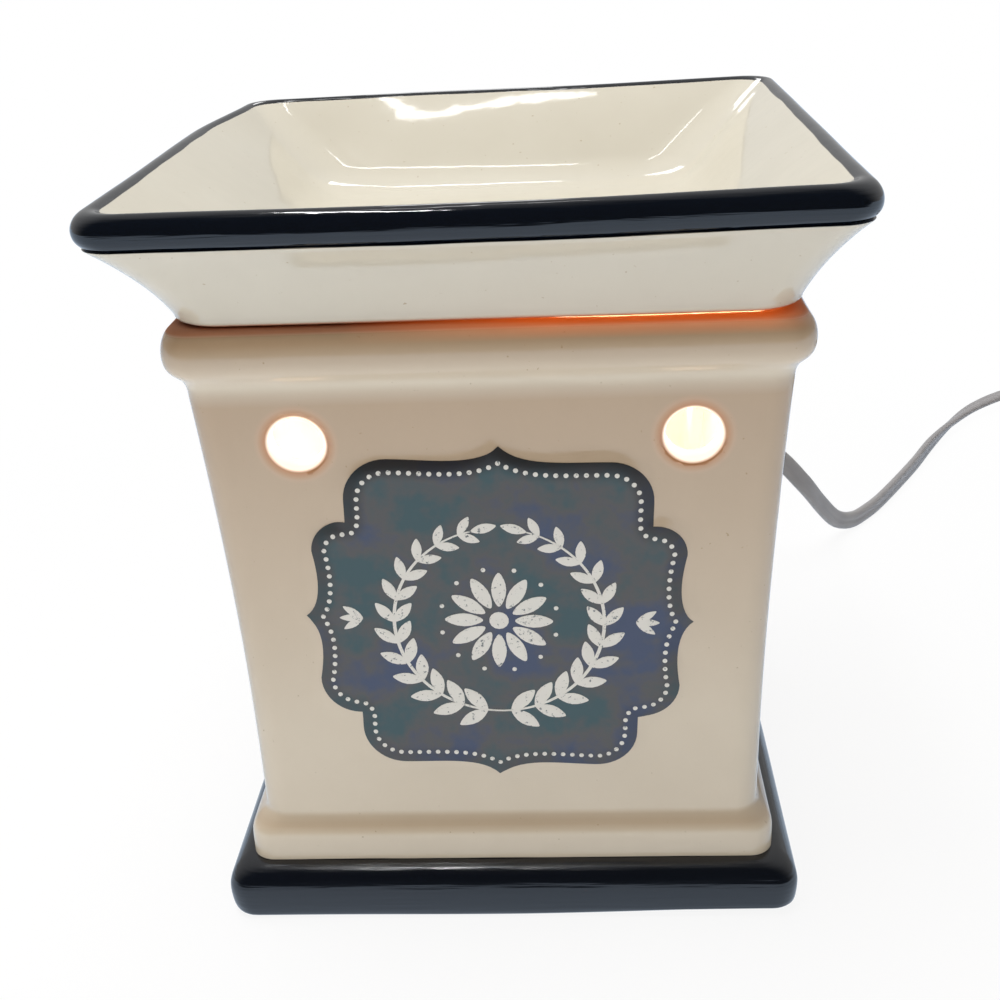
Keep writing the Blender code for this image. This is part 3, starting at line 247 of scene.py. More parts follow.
def add_block(bm, size, place):
    """Add a box of a size, centred on a place, and give its vertices."""
    verts = bmesh.ops.create_cube(bm, size=1)["verts"]
    bmesh.ops.scale(bm, vec=size, verts=verts)
    bmesh.ops.translate(bm, vec=place, verts=verts)
    return verts


def add_bar(bm, size, place):
    """Add a box with rounded edges."""
    verts = add_block(bm, size, place)
    edges = list(dict.fromkeys(e for v in verts for e in v.link_edges))
    bmesh.ops.bevel(bm, geom=edges, offset=BAR_ROUND, segments=2, profile=0.5, affect="EDGES",
                    material=-1)


def grow_ring(bm, ring):
    """Extrude a ring of edges, and give the new ring's vertices and edges."""
    grown = bmesh.ops.extrude_edge_only(bm, edges=ring)["geom"]
    verts = [g for g in grown if isinstance(g, bmesh.types.BMVert)]
    new = set(verts)
    edges = [g for g in grown if isinstance(g, bmesh.types.BMEdge) and new.issuperset(g.verts)]
    return verts, edges


def make_piece(bm, name, body, finish, stands_for=(), crease=40):
    """Close a bmesh into a piece that rides on a body and stands for CAD nodes."""
    bmesh.ops.remove_doubles(bm, verts=bm.verts[:], dist=1e-7)
    bmesh.ops.recalc_face_normals(bm, faces=bm.faces[:])
    mesh = bpy.data.meshes.new(name)
    bm.to_mesh(mesh)
    bm.free()
    mesh.materials.append(finish)
    mesh.shade_smooth()
    mesh.set_sharp_from_angle(angle=math.radians(crease))
    piece = bpy.data.objects.new(name, mesh)
    bpy.context.scene.collection.objects.link(piece)
    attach(piece, body)
    if stands_for:
        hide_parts(*stands_for)
    return piece


# Shaping

def ring_spots(side_counts, corner_steps):
    """Places round a square, each a corner centre as a share of the half width and a way out from it."""
    spots = []
    for k, count in enumerate(side_counts):
        quarter = Matrix.Rotation(k * TURN / 4, 2)
        for i in range(count + 1):
            spots.append((quarter @ Vector((2 * i / count - 1, -1)), quarter @ Vector((0, -1))))
        for i in range(1, corner_steps):
            angle = TURN / 4 * (i / corner_steps - 1)
            out = Vector((math.cos(angle), math.sin(angle)))
            spots.append((quarter @ Vector((1, -1)), quarter @ out))
    return spots


def draw_up(bm, spots, levels, capped=True):
    """Extrude a ring of edges through (half width, half depth, height, corner radius) levels."""
    spot = bm.verts.layers.int.new("spot")

    def settle(verts, level):
        half_x, half_y, z, corner = level
        for v in verts:
            centre, out = spots[v[spot]]
            x = (half_x - corner) * centre.x + corner * out.x
            y = (half_y - corner) * centre.y + corner * out.y
            v.co = (x, y, z)

    verts = [bm.verts.new() for _ in spots]
    for i, v in enumerate(verts):
        v[spot] = i
    ring = [bm.edges.new((verts[i - 1], verts[i])) for i in range(len(verts))]
    settle(verts, levels[0])
    if capped:
        bmesh.ops.contextual_create(bm, geom=ring)
    for level in levels[1:]:
        verts, ring = grow_ring(bm, ring)
        settle(verts, level)
    if capped:
        bmesh.ops.contextual_create(bm, geom=ring)


def square(levels):
    """Levels of a square piece, from (half width, height, corner radius)."""
    return [(half, half, z, corner) for half, z, corner in levels]


def turn_profile(bm, profile, steps):
    """Spin (radius, height) points round Z into a closed shape."""
    verts = [bm.verts.new((radius, 0, z)) for radius, z in profile]
    edges = [bm.edges.new(pair) for pair in zip(verts, verts[1:])]
    bmesh.ops.spin(bm, geom=verts + edges, axis=(0, 0, 1), cent=(0, 0, 0), angle=TURN, steps=steps,
                   use_merge=True)


def soften(bm, width, segments=3, angle=30):
    """Round every edge that is sharper than an angle."""
    sharp = [e for e in bm.edges if e.is_manifold and e.calc_face_angle() > math.radians(angle)]
    bmesh.ops.bevel(bm, geom=sharp, offset=width, segments=segments, profile=0.5, affect="EDGES",
                    clamp_overlap=True, material=-1)


def cut_away(piece, bm):
    """Cut a closed bmesh out of a piece, by a Boolean that is then applied."""
    bmesh.ops.remove_doubles(bm, verts=bm.verts[:], dist=1e-7)
    bmesh.ops.recalc_face_normals(bm, faces=bm.faces[:])
    mesh = bpy.data.meshes.new("cutter")
    bm.to_mesh(mesh)
    bm.free()
    mesh.shade_smooth()
    cutter = bpy.data.objects.new("cutter", mesh)
    bpy.context.scene.collection.objects.link(cutter)
    cut = piece.modifiers.new("cut", "BOOLEAN")
    cut.object = cutter
    old = piece.data
    view = bpy.context.evaluated_depsgraph_get()
    piece.data = bpy.data.meshes.new_from_object(piece.evaluated_get(view))
    piece.modifiers.clear()
    bpy.data.objects.remove(cutter)
    bpy.data.meshes.remove(old)


def cut_hole(piece, radius, flare, mouth, inward, depth, steps=64):
    """Cut a round hole with an eased edge at its mouth."""
    above_mouth = -depth / 4
    profile = [(0, above_mouth), (radius + flare, above_mouth),
               *arc((radius + flare, flare), (flare, flare), -90, -180, 8), (radius, depth), (0, depth)]
    bm = bmesh.new()
    turn_profile(bm, profile, steps)
    turn = Vector(inward).to_track_quat("Z", "Y").to_matrix().to_4x4()
    bm.transform(Matrix.Translation(mouth) @ turn)
    cut_away(piece, bm)


# Camera, lights and stage

def set_camera():
    """The photograph's own view."""
    data = bpy.data.cameras.new("camera")
    data.lens = CAMERA_LENS
    data.sensor_width = 36
    data.clip_start = 0.01
    camera = bpy.data.objects.new("camera", data)
    bpy.context.scene.collection.objects.link(camera)
    turn = (Matrix.Rotation(CAMERA_YAW, 3, "Z") @ Matrix.Rotation(-CAMERA_PITCH, 3, "X")
            @ Matrix.Rotation(CAMERA_ROLL, 3, "Y"))
    right, forward, up = turn.col
    camera.matrix_world = Matrix((
        (right.x, up.x, -forward.x, CAMERA_PLACE[0]),
        (right.y, up.y, -forward.y, CAMERA_PLACE[1]),
        (right.z, up.z, -forward.z, CAMERA_PLACE[2]),
        (0, 0, 0, 1),
    ))
    bpy.context.scene.camera = camera


def set_world():
    """White behind the warmer and a dim, warm room before it, so that dark glaze stays dark."""
    world = bpy.data.worlds.new("studio")
    world.use_nodes = True
    bpy.context.scene.world = world
    tree = world.node_tree
    tree.nodes.clear()
    facing = add(tree, "SeparateXYZ", {0: add(tree, "TexCoord").outputs["Generated"]})
    behind = add(tree, "MapRange", {"Value": facing.outputs["Y"], "From Min": -0.5, "From Max": 0.45},
                 interpolation_type="SMOOTHSTEP").outputs[0]
    mirrored = add(tree, "Mix", {0: behind, 6: colour(ROOM_COLOUR), 7: colour("#C6C6C6")},
                   data_type="RGBA")
    lighting = add(tree, "Mix", {0: behind, 6: colour("#7C7367"), 7: colour("#AAAAAA")}, data_type="RGBA")
    path = add(tree, "LightPath")
    lit = add(tree, "Mix", {0: path.outputs["Is Glossy Ray"], 6: lighting.outputs[2],
                            7: mirrored.outputs[2]}, data_type="RGBA")
    seen = add(tree, "Math", {0: path.outputs["Is Camera Ray"], 1: path.outputs["Is Transmission Ray"]},
               operation="MAXIMUM")
    both = add(tree, "Mix", {0: seen.outputs[0], 6: lit.outputs[2], 7: colour("#FFFFFF")},
               data_type="RGBA")
    shown = add(tree, "Background", {"Color": both.outputs[2], "Strength": 1.0})
    add(tree, "OutputWorld", {"Surface": shown.outputs[0]})


def add_panel(name, place, target, size, power, tint="#FFFFFF", mirrored=False):
    """A soft box that points at a spot on the warmer."""
    data = bpy.data.lights.new(name, "AREA")
    data.shape = "RECTANGLE"
    data.size, data.size_y = size
    data.energy = power
    data.color = colour(tint)[:3]
    panel = bpy.data.objects.new(name, data)
    bpy.context.scene.collection.objects.link(panel)
    panel.location = place
    panel.rotation_euler = (Vector(target) - Vector(place)).to_track_quat("-Z", "Y").to_euler()
    panel.visible_glossy = mirrored
    panel.visible_camera = False


def set_floor():
    """Pale table that runs out of view, with the warmer's soft shadow on it."""
    bm = bmesh.new()
    bmesh.ops.create_grid(bm, x_segments=1, y_segments=1, size=12.0)
    mesh = bpy.data.meshes.new("table")
    bm.to_mesh(mesh)
    bm.free()
    table = bpy.data.objects.new("table", mesh)
    bpy.context.scene.collection.objects.link(table)
    made = bpy.data.materials.new("white_table_paper")
    made.use_nodes = True
    tree = made.node_tree
    tree.nodes.clear()
    path = add(tree, "LightPath")
    paper = add(tree, "BsdfDiffuse", {"Color": colour("#EDEDEE")})
    place = add(tree, "TexCoord").outputs["Object"]
    forward = add(tree, "SeparateXYZ", {0: place}).outputs["Y"]
    edge = add(tree, "MapRange", {"Value": forward, "From Min": -0.75, "From Max": -0.45})
    mirrored = add(tree, "Mix", {0: edge.outputs[0], 6: colour(ROOM_COLOUR), 7: colour("#D8EAFF")},
                   data_type="RGBA")
    tint = add(tree, "Mix", {0: path.outputs["Is Glossy Ray"], 6: colour("#FFFFFF"),
                             7: mirrored.outputs[2]}, data_type="RGBA")
    glow = add(tree, "Emission", {"Color": tint.outputs[2], "Strength": 1.0})
    seen = path.outputs["Is Camera Ray"]
    for kind in ("Is Glossy Ray", "Is Transmission Ray"):
        seen = add(tree, "Math", {0: seen, 1: path.outputs[kind]}, operation="MAXIMUM").outputs[0]
    away = add(tree, "VectorMath", {0: place}, operation="LENGTH")
    white = add(tree, "MapRange", {"Value": away.outputs["Value"], "From Min": 0.10, "From Max": 0.40,
                                   "To Min": 0.90, "To Max": 1.0}, interpolation_type="SMOOTHSTEP")
    share = add(tree, "Math", {0: seen, 1: white.outputs[0]}, operation="MULTIPLY")
    both = add(tree, "MixShader", {0: share.outputs[0], 1: paper.outputs[0], 2: glow.outputs[0]})
    add(tree, "OutputMaterial", {"Surface": both.outputs[0]})
    mesh.materials.append(made)


# Lead

def smooth_route(points, spacing):
    """Evenly spaced points on a Catmull-Rom curve through the route's own points."""
    points = [Vector(p) for p in points]
    ends = [2 * points[0] - points[1]] + points + [2 * points[-1] - points[-2]]
    steps = 20
    fine = []
    for a, b, c, d in zip(ends, ends[1:], ends[2:], ends[3:]):
        for i in range(steps):
            t = i / steps
            fine.append(0.5 * (2 * b + (c - a) * t + (2 * a - 5 * b + 4 * c - d) * t ** 2
                               + (3 * b - a - 3 * c + d) * t ** 3))
    return evenly(fine + points[-1:], spacing)


def twist(count, start, end, first, last):
    """Rolls of a flat lead that ease from one angle to another between two shares of a run."""
    return [start + (end - start) * ease((i / (count - 1) - first) / (last - first)) for i in range(count)]


def coil_points():
    """The coil's middle line: in along the lower layer, up half a turn, and out along the upper one."""
    layer = COIL_TURNS_PER_LAYER * TURN
    climb = COIL_CLIMB_TURNS * TURN
    total = 2 * layer + climb
    count = round(total / TURN * COIL_POINTS_PER_TURN)
    points = []
    for i in range(count + 1):
        angle = total * i / count
        radius = COIL_RADIUS - COIL_PITCH * min(angle, total - angle) / TURN
        z = COIL_LOW + CORD_WIDTH / 2 + COIL_CLIMB * ease((angle - layer) / climb)
        points.append(COIL_CENTRE + Vector((radius * math.cos(angle), -radius * math.sin(angle), z)))
    return points


def lead_route():
    """The whole lead's middle line from strain relief to plug, with its roll at each point."""
    x, y, z = RELIEF_END
    on_table = CORD_WIDTH / 2
    near, far = SWITCH_LOW.x, SWITCH_HIGH.x
    switch_y, switch_z = SWITCH_MIDDLE.y, SWITCH_MIDDLE.z
    straight = 0.006
    run = smooth_route([
        (x, y - 0.004, z), (x, y + 0.008, z), (0.006, 0.106, 0.0499), (0.024, 0.1165, 0.0497),
        (0.048, 0.1165, 0.0491), (0.068, 0.1128, 0.0471), (0.0825, 0.1122, 0.0418),
        (0.0940, 0.1170, 0.0290), (0.1022, 0.1255, 0.0168), (0.1092, 0.1335, 0.0076),
        (0.1160, 0.1403, 0.0038), (0.1224, 0.1478, on_table), (0.1312, 0.1600, on_table),
        (0.1495, 0.1905, on_table), (0.1620, 0.2135, on_table), (0.1760, 0.2360, on_table),
        (0.1900, 0.2530, 0.0040), (0.2050, 0.2620, 0.0062),
        (near - straight, switch_y, switch_z), (near, switch_y, switch_z),
    ], CORD_THICKNESS)
    coil = coil_points()
    start, end = coil[0], coil[-1]
    link = smooth_route([
        (far, switch_y, switch_z), (far + straight, switch_y, switch_z), (0.2918, 0.2600, 0.0065),
        (0.3000, 0.2495, 0.0050), (start.x, 0.2340, start.z),
        (start.x, start.y + 2 * CORD_WIDTH, start.z), start,
    ], CORD_THICKNESS)
    plug_z = SWITCH_MIDDLE.z
    tail = smooth_route([
        end, (end.x, end.y - 2 * CORD_WIDTH, end.z), (end.x, PLUG_FACE_Y + CORD_WIDTH, plug_z),
        (end.x, PLUG_FACE_Y, plug_z),
    ], CORD_THICKNESS)
    quarter = TURN / 4
    rolls = twist(len(run), 0, quarter, 0.72, 0.95) + twist(len(link), quarter, 0, 0.1, 0.75)[:-1]
    rolls += [0.0] * len(coil) + twist(len(tail), 0, quarter, 0.3, 0.95)[1:]
    return run + link[:-1] + coil + tail[1:], rolls


def sweep(points, rolls, outline):
    """Sweep an outline along points as a curve, and give the bmesh of it."""
    section = bpy.data.curves.new("section", "CURVE")
    loop = section.splines.new("POLY")
    loop.points.add(len(outline) - 1)
    for target, (x, y) in zip(loop.points, outline):
        target.co = (x, y, 0, 1)
    loop.use_cyclic_u = True
    section_object = bpy.data.objects.new("section", section)
    bpy.context.scene.collection.objects.link(section_object)
    curve = bpy.data.curves.new("swept", "CURVE")
    curve.dimensions = "3D"
    curve.twist_mode = "Z_UP"
    curve.bevel_mode = "OBJECT"
    curve.bevel_object = section_object
    curve.use_fill_caps = True
    spline = curve.splines.new("POLY")
    spline.points.add(len(points) - 1)
    for target, point, roll in zip(spline.points, points, rolls):
        target.co = (*point, 1)
        target.tilt = roll
    swept = bpy.data.objects.new("swept", curve)
    bpy.context.scene.collection.objects.link(swept)
    view = bpy.context.evaluated_depsgraph_get()
    bm = bmesh.new()
    bm.from_mesh(bpy.data.meshes.new_from_object(swept.evaluated_get(view)))
    bpy.data.objects.remove(swept)
    bpy.data.objects.remove(section_object)
    return bm


def make_lead(vinyl):
    """Two cores side by side in one sheath, with a groove between them."""
    steps = 28
    outline = []
    for i in range(steps):
        angle = TURN * i / steps
        across = CORD_WIDTH / 2 * math.sin(angle)
        groove = 1 - CORD_GROOVE * math.exp(-(across / (0.7 * MM)) ** 2)
        thick = math.copysign(abs(math.cos(angle)) ** 0.7, math.cos(angle)) * groove
        outline.append((CORD_THICKNESS / 2 * thick, across))
    points, rolls = lead_route()
    lead = make_piece(sweep(points, rolls, outline), "flat_lead", "base", vinyl,
                      ("cord_run", "cord_link", "cord_coil", "cord_tail"), crease=60)
    return lead, points


def make_inner_leads(live, neutral):
    """Two insulated wires from the strain relief round to the holder's terminal screws."""
    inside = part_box("strain_relief")[0].y + MM
    radius, apart, straight = 1.2 * MM, 1.6 * MM, 7.0 * MM
    terminal_z, arch, reach = 0.0301, 0.0020, 0.0152
    circle = list(arc((0, 0), (radius, radius), 0, 345, 23))
    wires = (("lead_live", 1, live, "brown_wire"), ("lead_neutral", -1, neutral, "blue_wire"))
    for name, side, finish, slot in wires:
        x = side * apart
        points = smooth_route([
            (x, inside, RELIEF_END.z), (x, inside - straight, RELIEF_END.z),
            (side * 0.0026, 0.0305, 0.0390), (side * 0.0129, 0.0157, terminal_z + arch),
            (side * reach, 0.0049, terminal_z), (side * reach, 0, terminal_z),
        ], 1.5 * MM)
        bm = sweep(points, [0.0] * len(points), circle)
        make_piece(bm, f"insulated_{name}", "base", finish, (name,), crease=60)


def make_strain_relief(vinyl):
    """Moulded bush in the back wall, with rings down its taper."""
    low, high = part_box("strain_relief")
    wall = wall_half(RELIEF_END.z)
    neck, lip, flange, root, tip = 0.0044, 0.0054, 0.0065, 0.0056, 0.0039
    gap, edge = 0.0003, 0.0005
    inner = wall - BODY_WALL - gap
    start = wall + gap
    taper_start = start + 0.0024
    profile = [(0, low.y), (lip - edge, low.y), (lip, low.y + edge), (lip, inner), (neck, inner),
               (neck, start), (flange - edge, start), (flange, start + edge), (flange, start + 0.0018),
               (flange - edge, start + 0.0023), (root, taper_start)]
    rings, depth, last_ring = 6, 0.00055, 0.97
    steps = rings * 8
    for i in range(steps + 1):
        share = i / steps
        groove = depth * max(0.0, math.cos(TURN * (share * rings + 0.5))) ** 2
        radius = root + (tip - root) * share - (groove if share < last_ring else 0.0)
        profile.append((radius, taper_start + (high.y - taper_start) * share))
    profile += [(tip - edge, high.y), (0, high.y)]
    bm = bmesh.new()
    turn_profile(bm, profile, 40)
    bm.transform(Matrix.Translation((0, 0, RELIEF_END.z)) @ Matrix.Rotation(-TURN / 4, 4, "X"))
    return make_piece(bm, "ringed_strain_relief", "base", vinyl, ("strain_relief",))


def make_coil_tie(strap):
    """Hook-and-loop strap round the coil, with its tail laid over itself."""
    inner, outer, low, high = 0.02735, 0.04275, 0.0007, 0.0149
    width, thickness, corner, tail = 8.0 * MM, 0.7 * MM, 2.6 * MM, 8.0 * MM
    middle = Vector(((inner + outer) / 2, 0, (low + high) / 2))
    half_x, half_y = (outer - inner) / 2 - thickness / 2, (high - low) / 2 - thickness / 2
    steps = 6
    levels = [(half_x, half_y, width * (i / steps - 0.5), corner) for i in range(steps + 1)]
    bm = bmesh.new()
    draw_up(bm, ring_spots((8, 8, 8, 8), 6), levels, capped=False)
    bmesh.ops.recalc_face_normals(bm, faces=bm.faces[:])
    bmesh.ops.solidify(bm, geom=bm.faces[:], thickness=thickness)
    add_bar(bm, (tail, thickness, width), (0.5 * MM, half_y + 1.2 * thickness, 0))
    across = Matrix.Translation(middle) @ Matrix.Rotation(TURN / 4, 4, "X")
    round_coil = Matrix.Rotation(TIE_ANGLE, 4, "Z")
    bm.transform(Matrix.Translation(COIL_CENTRE) @ round_coil @ across)
    return make_piece(bm, "coil_strap", "base", strap, ("cord_tie",))


def make_plug(vinyl, brass):
    """Two-blade plug moulded on to the lead: ringed neck, shoulders, waisted grip with bars."""
    low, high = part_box("plug_body")
    middle = (low + high) / 2
    full_x, full_y, length = (high.x - low.x) / 2, (high.z - low.z) / 2, high.y - low.y
    neck_x, neck_y, neck_end, shoulder = 0.0065, 0.0050, 0.0105, 0.0180
    neck_corner, corner, face_corner, edge = 0.0034, 0.0044, 0.0040, 0.0010
    rings, ring_depth, waist_depth, bars = 4, 0.0006, 0.0007, 5
    levels = []
    steps = 40
    for i in range(steps + 1):
        share = i / steps
        groove = ring_depth * max(0.0, math.cos(TURN * (rings * share + 0.5))) ** 2
        swell = 0.82 + 0.18 * share
        levels.append((neck_x * swell - groove, neck_y * swell - groove, neck_end * share, neck_corner))
    steps = 10
    for i in range(1, steps + 1):
        share = i / steps
        grow = ease(share)
        levels.append((neck_x + (full_x - neck_x) * grow, neck_y + (full_y - neck_y) * grow,
                       neck_end + (shoulder - neck_end) * share,
                       neck_corner + (corner - neck_corner) * grow))
    steps = 8
    for i in range(1, steps + 1):
        share = i / steps
        waist = waist_depth * math.sin(math.pi * share)
        levels.append((full_x - waist, full_y, shoulder + (length - edge - shoulder) * share, corner))
    for x, y in list(arc((0, 0), (edge, edge), 0, 90, 4))[1:]:
        levels.append((full_x - edge + x, full_y - edge + x, length - edge + y, face_corner))
    bm = bmesh.new()
    draw_up(bm, ring_spots((10, 8, 10, 8), 6), levels)
    for face in (-1, 1):
        for i in range(bars):
            along = shoulder + (1.4 + 2.0 * i) * MM
            add_bar(bm, (10.0 * MM, 0.7 * MM, 0.9 * MM), (0, face * full_y, along))
    bm.transform(Matrix.Translation((middle.x, high.y, middle.z)) @ Matrix.Rotation(TURN / 4, 4, "X"))
    plug = make_piece(bm, "moulded_plug", "base", vinyl, ("plug_body",))
    return [plug] + [make_blade(f"plug_blade_{i}", brass) for i in (1, 2)]


def make_blade(node, brass):
    """Flat brass blade with a rounded end and a hole near it."""
    low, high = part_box(node)
    bm = bmesh.new()
    add_block(bm, high - low, (low + high) / 2)
    tip = [e for e in bm.edges if all(v.co.y < low.y + MM for v in e.verts)
           and abs(e.verts[0].co.x - e.verts[1].co.x) > MM]
    bmesh.ops.bevel(bm, geom=tip, offset=1.9 * MM, segments=5, profile=0.5, affect="EDGES", material=-1)
    soften(bm, 0.22 * MM, 2, 60)
    blade = make_piece(bm, f"brass_{node}", "base", brass, (node,))
    middle = Vector((low.x - MM, low.y + 4.2 * MM, (low.z + high.z) / 2))
    cut_hole(blade, 1.5 * MM, 0.0, middle, (1, 0, 0), 8 * MM, 32)
    return blade


def make_switch(plastic, wheel_plastic, steel):
    """In-line switch: two moulded shells, slotted for the thumb wheel, held by two screws from below."""
    upper_low, upper_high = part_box("switch_upper")
    middle = Vector((SWITCH_MIDDLE.x, SWITCH_MIDDLE.y, 0))
    half_x, half_y = (SWITCH_HIGH.x - SWITCH_LOW.x) / 2, (SWITCH_HIGH.y - SWITCH_LOW.y) / 2
    wall, corner, crown, seam = 0.0016, 0.0060, 0.0026, 0.0005
    slot_radius, slot_height = 0.0090, 0.0058
    screw_spacing, screw_hole = 0.0360, 0.0025
    wheel_low, wheel_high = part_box("switch_wheel")
    wheel = (wheel_low + wheel_high) / 2
    pieces = []
    shells = (("switch_lower", SWITCH_LOW.z, SWITCH_HIGH.z, 1),
              ("switch_upper", upper_high.z, upper_low.z, -1))
    for name, floor, split, up in shells:
        levels = []
        for x, z in arc((0, crown), (crown, crown), -90, 0, 7):
            inset = crown - x
            levels.append((half_x - inset, half_y - inset, floor + up * z, corner - 0.5 * inset))
        levels.append((half_x, half_y, split - up * seam, corner))
        levels.append((half_x - seam, half_y - seam, split, corner - seam))
        levels.append((half_x - wall, half_y - wall, split, corner - wall))
        levels.append((half_x - wall, half_y - wall, floor + up * wall, corner - wall))
        bm = bmesh.new()
        draw_up(bm, ring_spots((20, 10, 20, 10), 8), levels)
        bm.transform(Matrix.Translation(middle))
        shell = make_piece(bm, f"moulded_{name}", "base", plastic, (name,))
        slot = bmesh.new()
        bmesh.ops.create_cone(slot, cap_ends=True, segments=72, radius1=slot_radius, radius2=slot_radius,
                              depth=slot_height)
        slot.transform(Matrix.Translation(wheel))
        cut_away(shell, slot)
        pieces.append(shell)
    pieces.append(make_switch_bars(plastic, middle, half_y, upper_high.z))
    for i, side in ((1, -1), (2, 1)):
        place = middle + Vector((side * screw_spacing / 2, 0, 0))
        cut_hole(pieces[0], screw_hole, 0.3 * MM, place, (0, 0, 1), 3 * wall, 32)
        pieces.append(make_switch_screw(f"switch_screw_{i}", place, steel))
    pieces.append(make_wheel(wheel, wheel_plastic))
    return pieces


def make_switch_bars(plastic, middle, half_y, top):
    """Moulded grip bars across both ends of the upper shell."""
    bars = 5
    bm = bmesh.new()
    for side in (-1, 1):
        for i in range(bars):
            place = Vector((side * (13.0 + 1.8 * i) * MM, 0, top - 0.1 * MM))
            add_block(bm, (0.9 * MM, 1.2 * half_y, 0.9 * MM), middle + place)
    soften(bm, 0.3 * MM)
    return make_piece(bm, "switch_grip_bars", "base", plastic)


def make_switch_screw(node, place, steel):
    """Slotted countersunk screw."""
    low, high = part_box(node)
    head, shank, sunk = 0.0021, 0.0011, 0.0014
    edge, rim, thread = 0.0002, 0.0006, 0.00018
    profile = [(0, low.z), (head - edge, low.z), (head, low.z + edge), (head, low.z + rim)]
    profile += rippled(shank, thread, sunk, high.z, 10, 4)
    profile.append((0, high.z))
    bm = bmesh.new()
    turn_profile(bm, profile, 32)
    bm.transform(Matrix.Translation(place))
    screw = make_piece(bm, f"slotted_{node}", "base", steel, (node,))
    slot = bmesh.new()
    add_block(slot, (6 * MM, 0.6 * MM, 1.2 * MM), (0, 0, 0))
    turned_in = Matrix.Rotation(math.radians(25), 4, "Z")
    slot.transform(Matrix.Translation(place + Vector((0, 0, low.z))) @ turned_in)
    cut_away(screw, slot)
    return screw


def make_wheel(place, plastic):
    """Ribbed thumb wheel, dished on both faces."""
    radius, half, ribs, rib = 0.0086, 0.0025, 24, 0.0005
    bm = bmesh.new()
    rings = [(0.60, half - 0.0006), (0.66, half), (0.955, half), (1.0, half - 0.0005)]
    rows = [(share, -z) for share, z in rings] + [(share, z) for share, z in reversed(rings)]
    steps = ribs * 6
    ring = bmesh.ops.create_circle(bm, cap_ends=True, radius=1, segments=steps)["verts"]
    edges = list(dict.fromkeys(e for v in ring for e in v.link_edges))
    angles = {v: math.atan2(v.co.y, v.co.x) for v in ring}

    def settle(verts, row):
        share, z = row
        for v in verts:
            dip = rib * (0.5 - 0.5 * math.cos(ribs * angles[v])) ** 2 if share > 0.7 else 0.0
            r = radius * share - dip
            v.co = (r * math.cos(angles[v]), r * math.sin(angles[v]), z)

    settle(ring, rows[0])
    for row in rows[1:]:
        verts, edges = grow_ring(bm, edges)
        angles.update((v, math.atan2(v.co.y, v.co.x)) for v in verts)
        settle(verts, row)
    bmesh.ops.contextual_create(bm, geom=edges)
    bm.transform(Matrix.Translation(place))
    return make_piece(bm, "ribbed_thumb_wheel", "thumb_wheel", plastic,
                      ("switch_wheel",))


# Earthenware

def wall_half(z):
    """Half the body's outside width at a height on its wall, which hollows towards the neck."""
    share = min(1.0, max(0.0, (z - NECK_Z) / (WALL_TOP - NECK_Z)))
    return NECK_HALF + (WALL_TOP_HALF - NECK_HALF) * share ** 2


def cast_wobble(place):
    """Slight unevenness that slip casting, drying and firing leave in a wall."""
    amount, size = 0.16 * MM, 42 * MM
    shifts = ((3.1, 7.7, 1.9), (11.3, 2.5, 8.1), (5.9, 13.7, 4.3))
    return Vector([noise.noise(place / size + Vector(shift)) for shift in shifts]) * amount


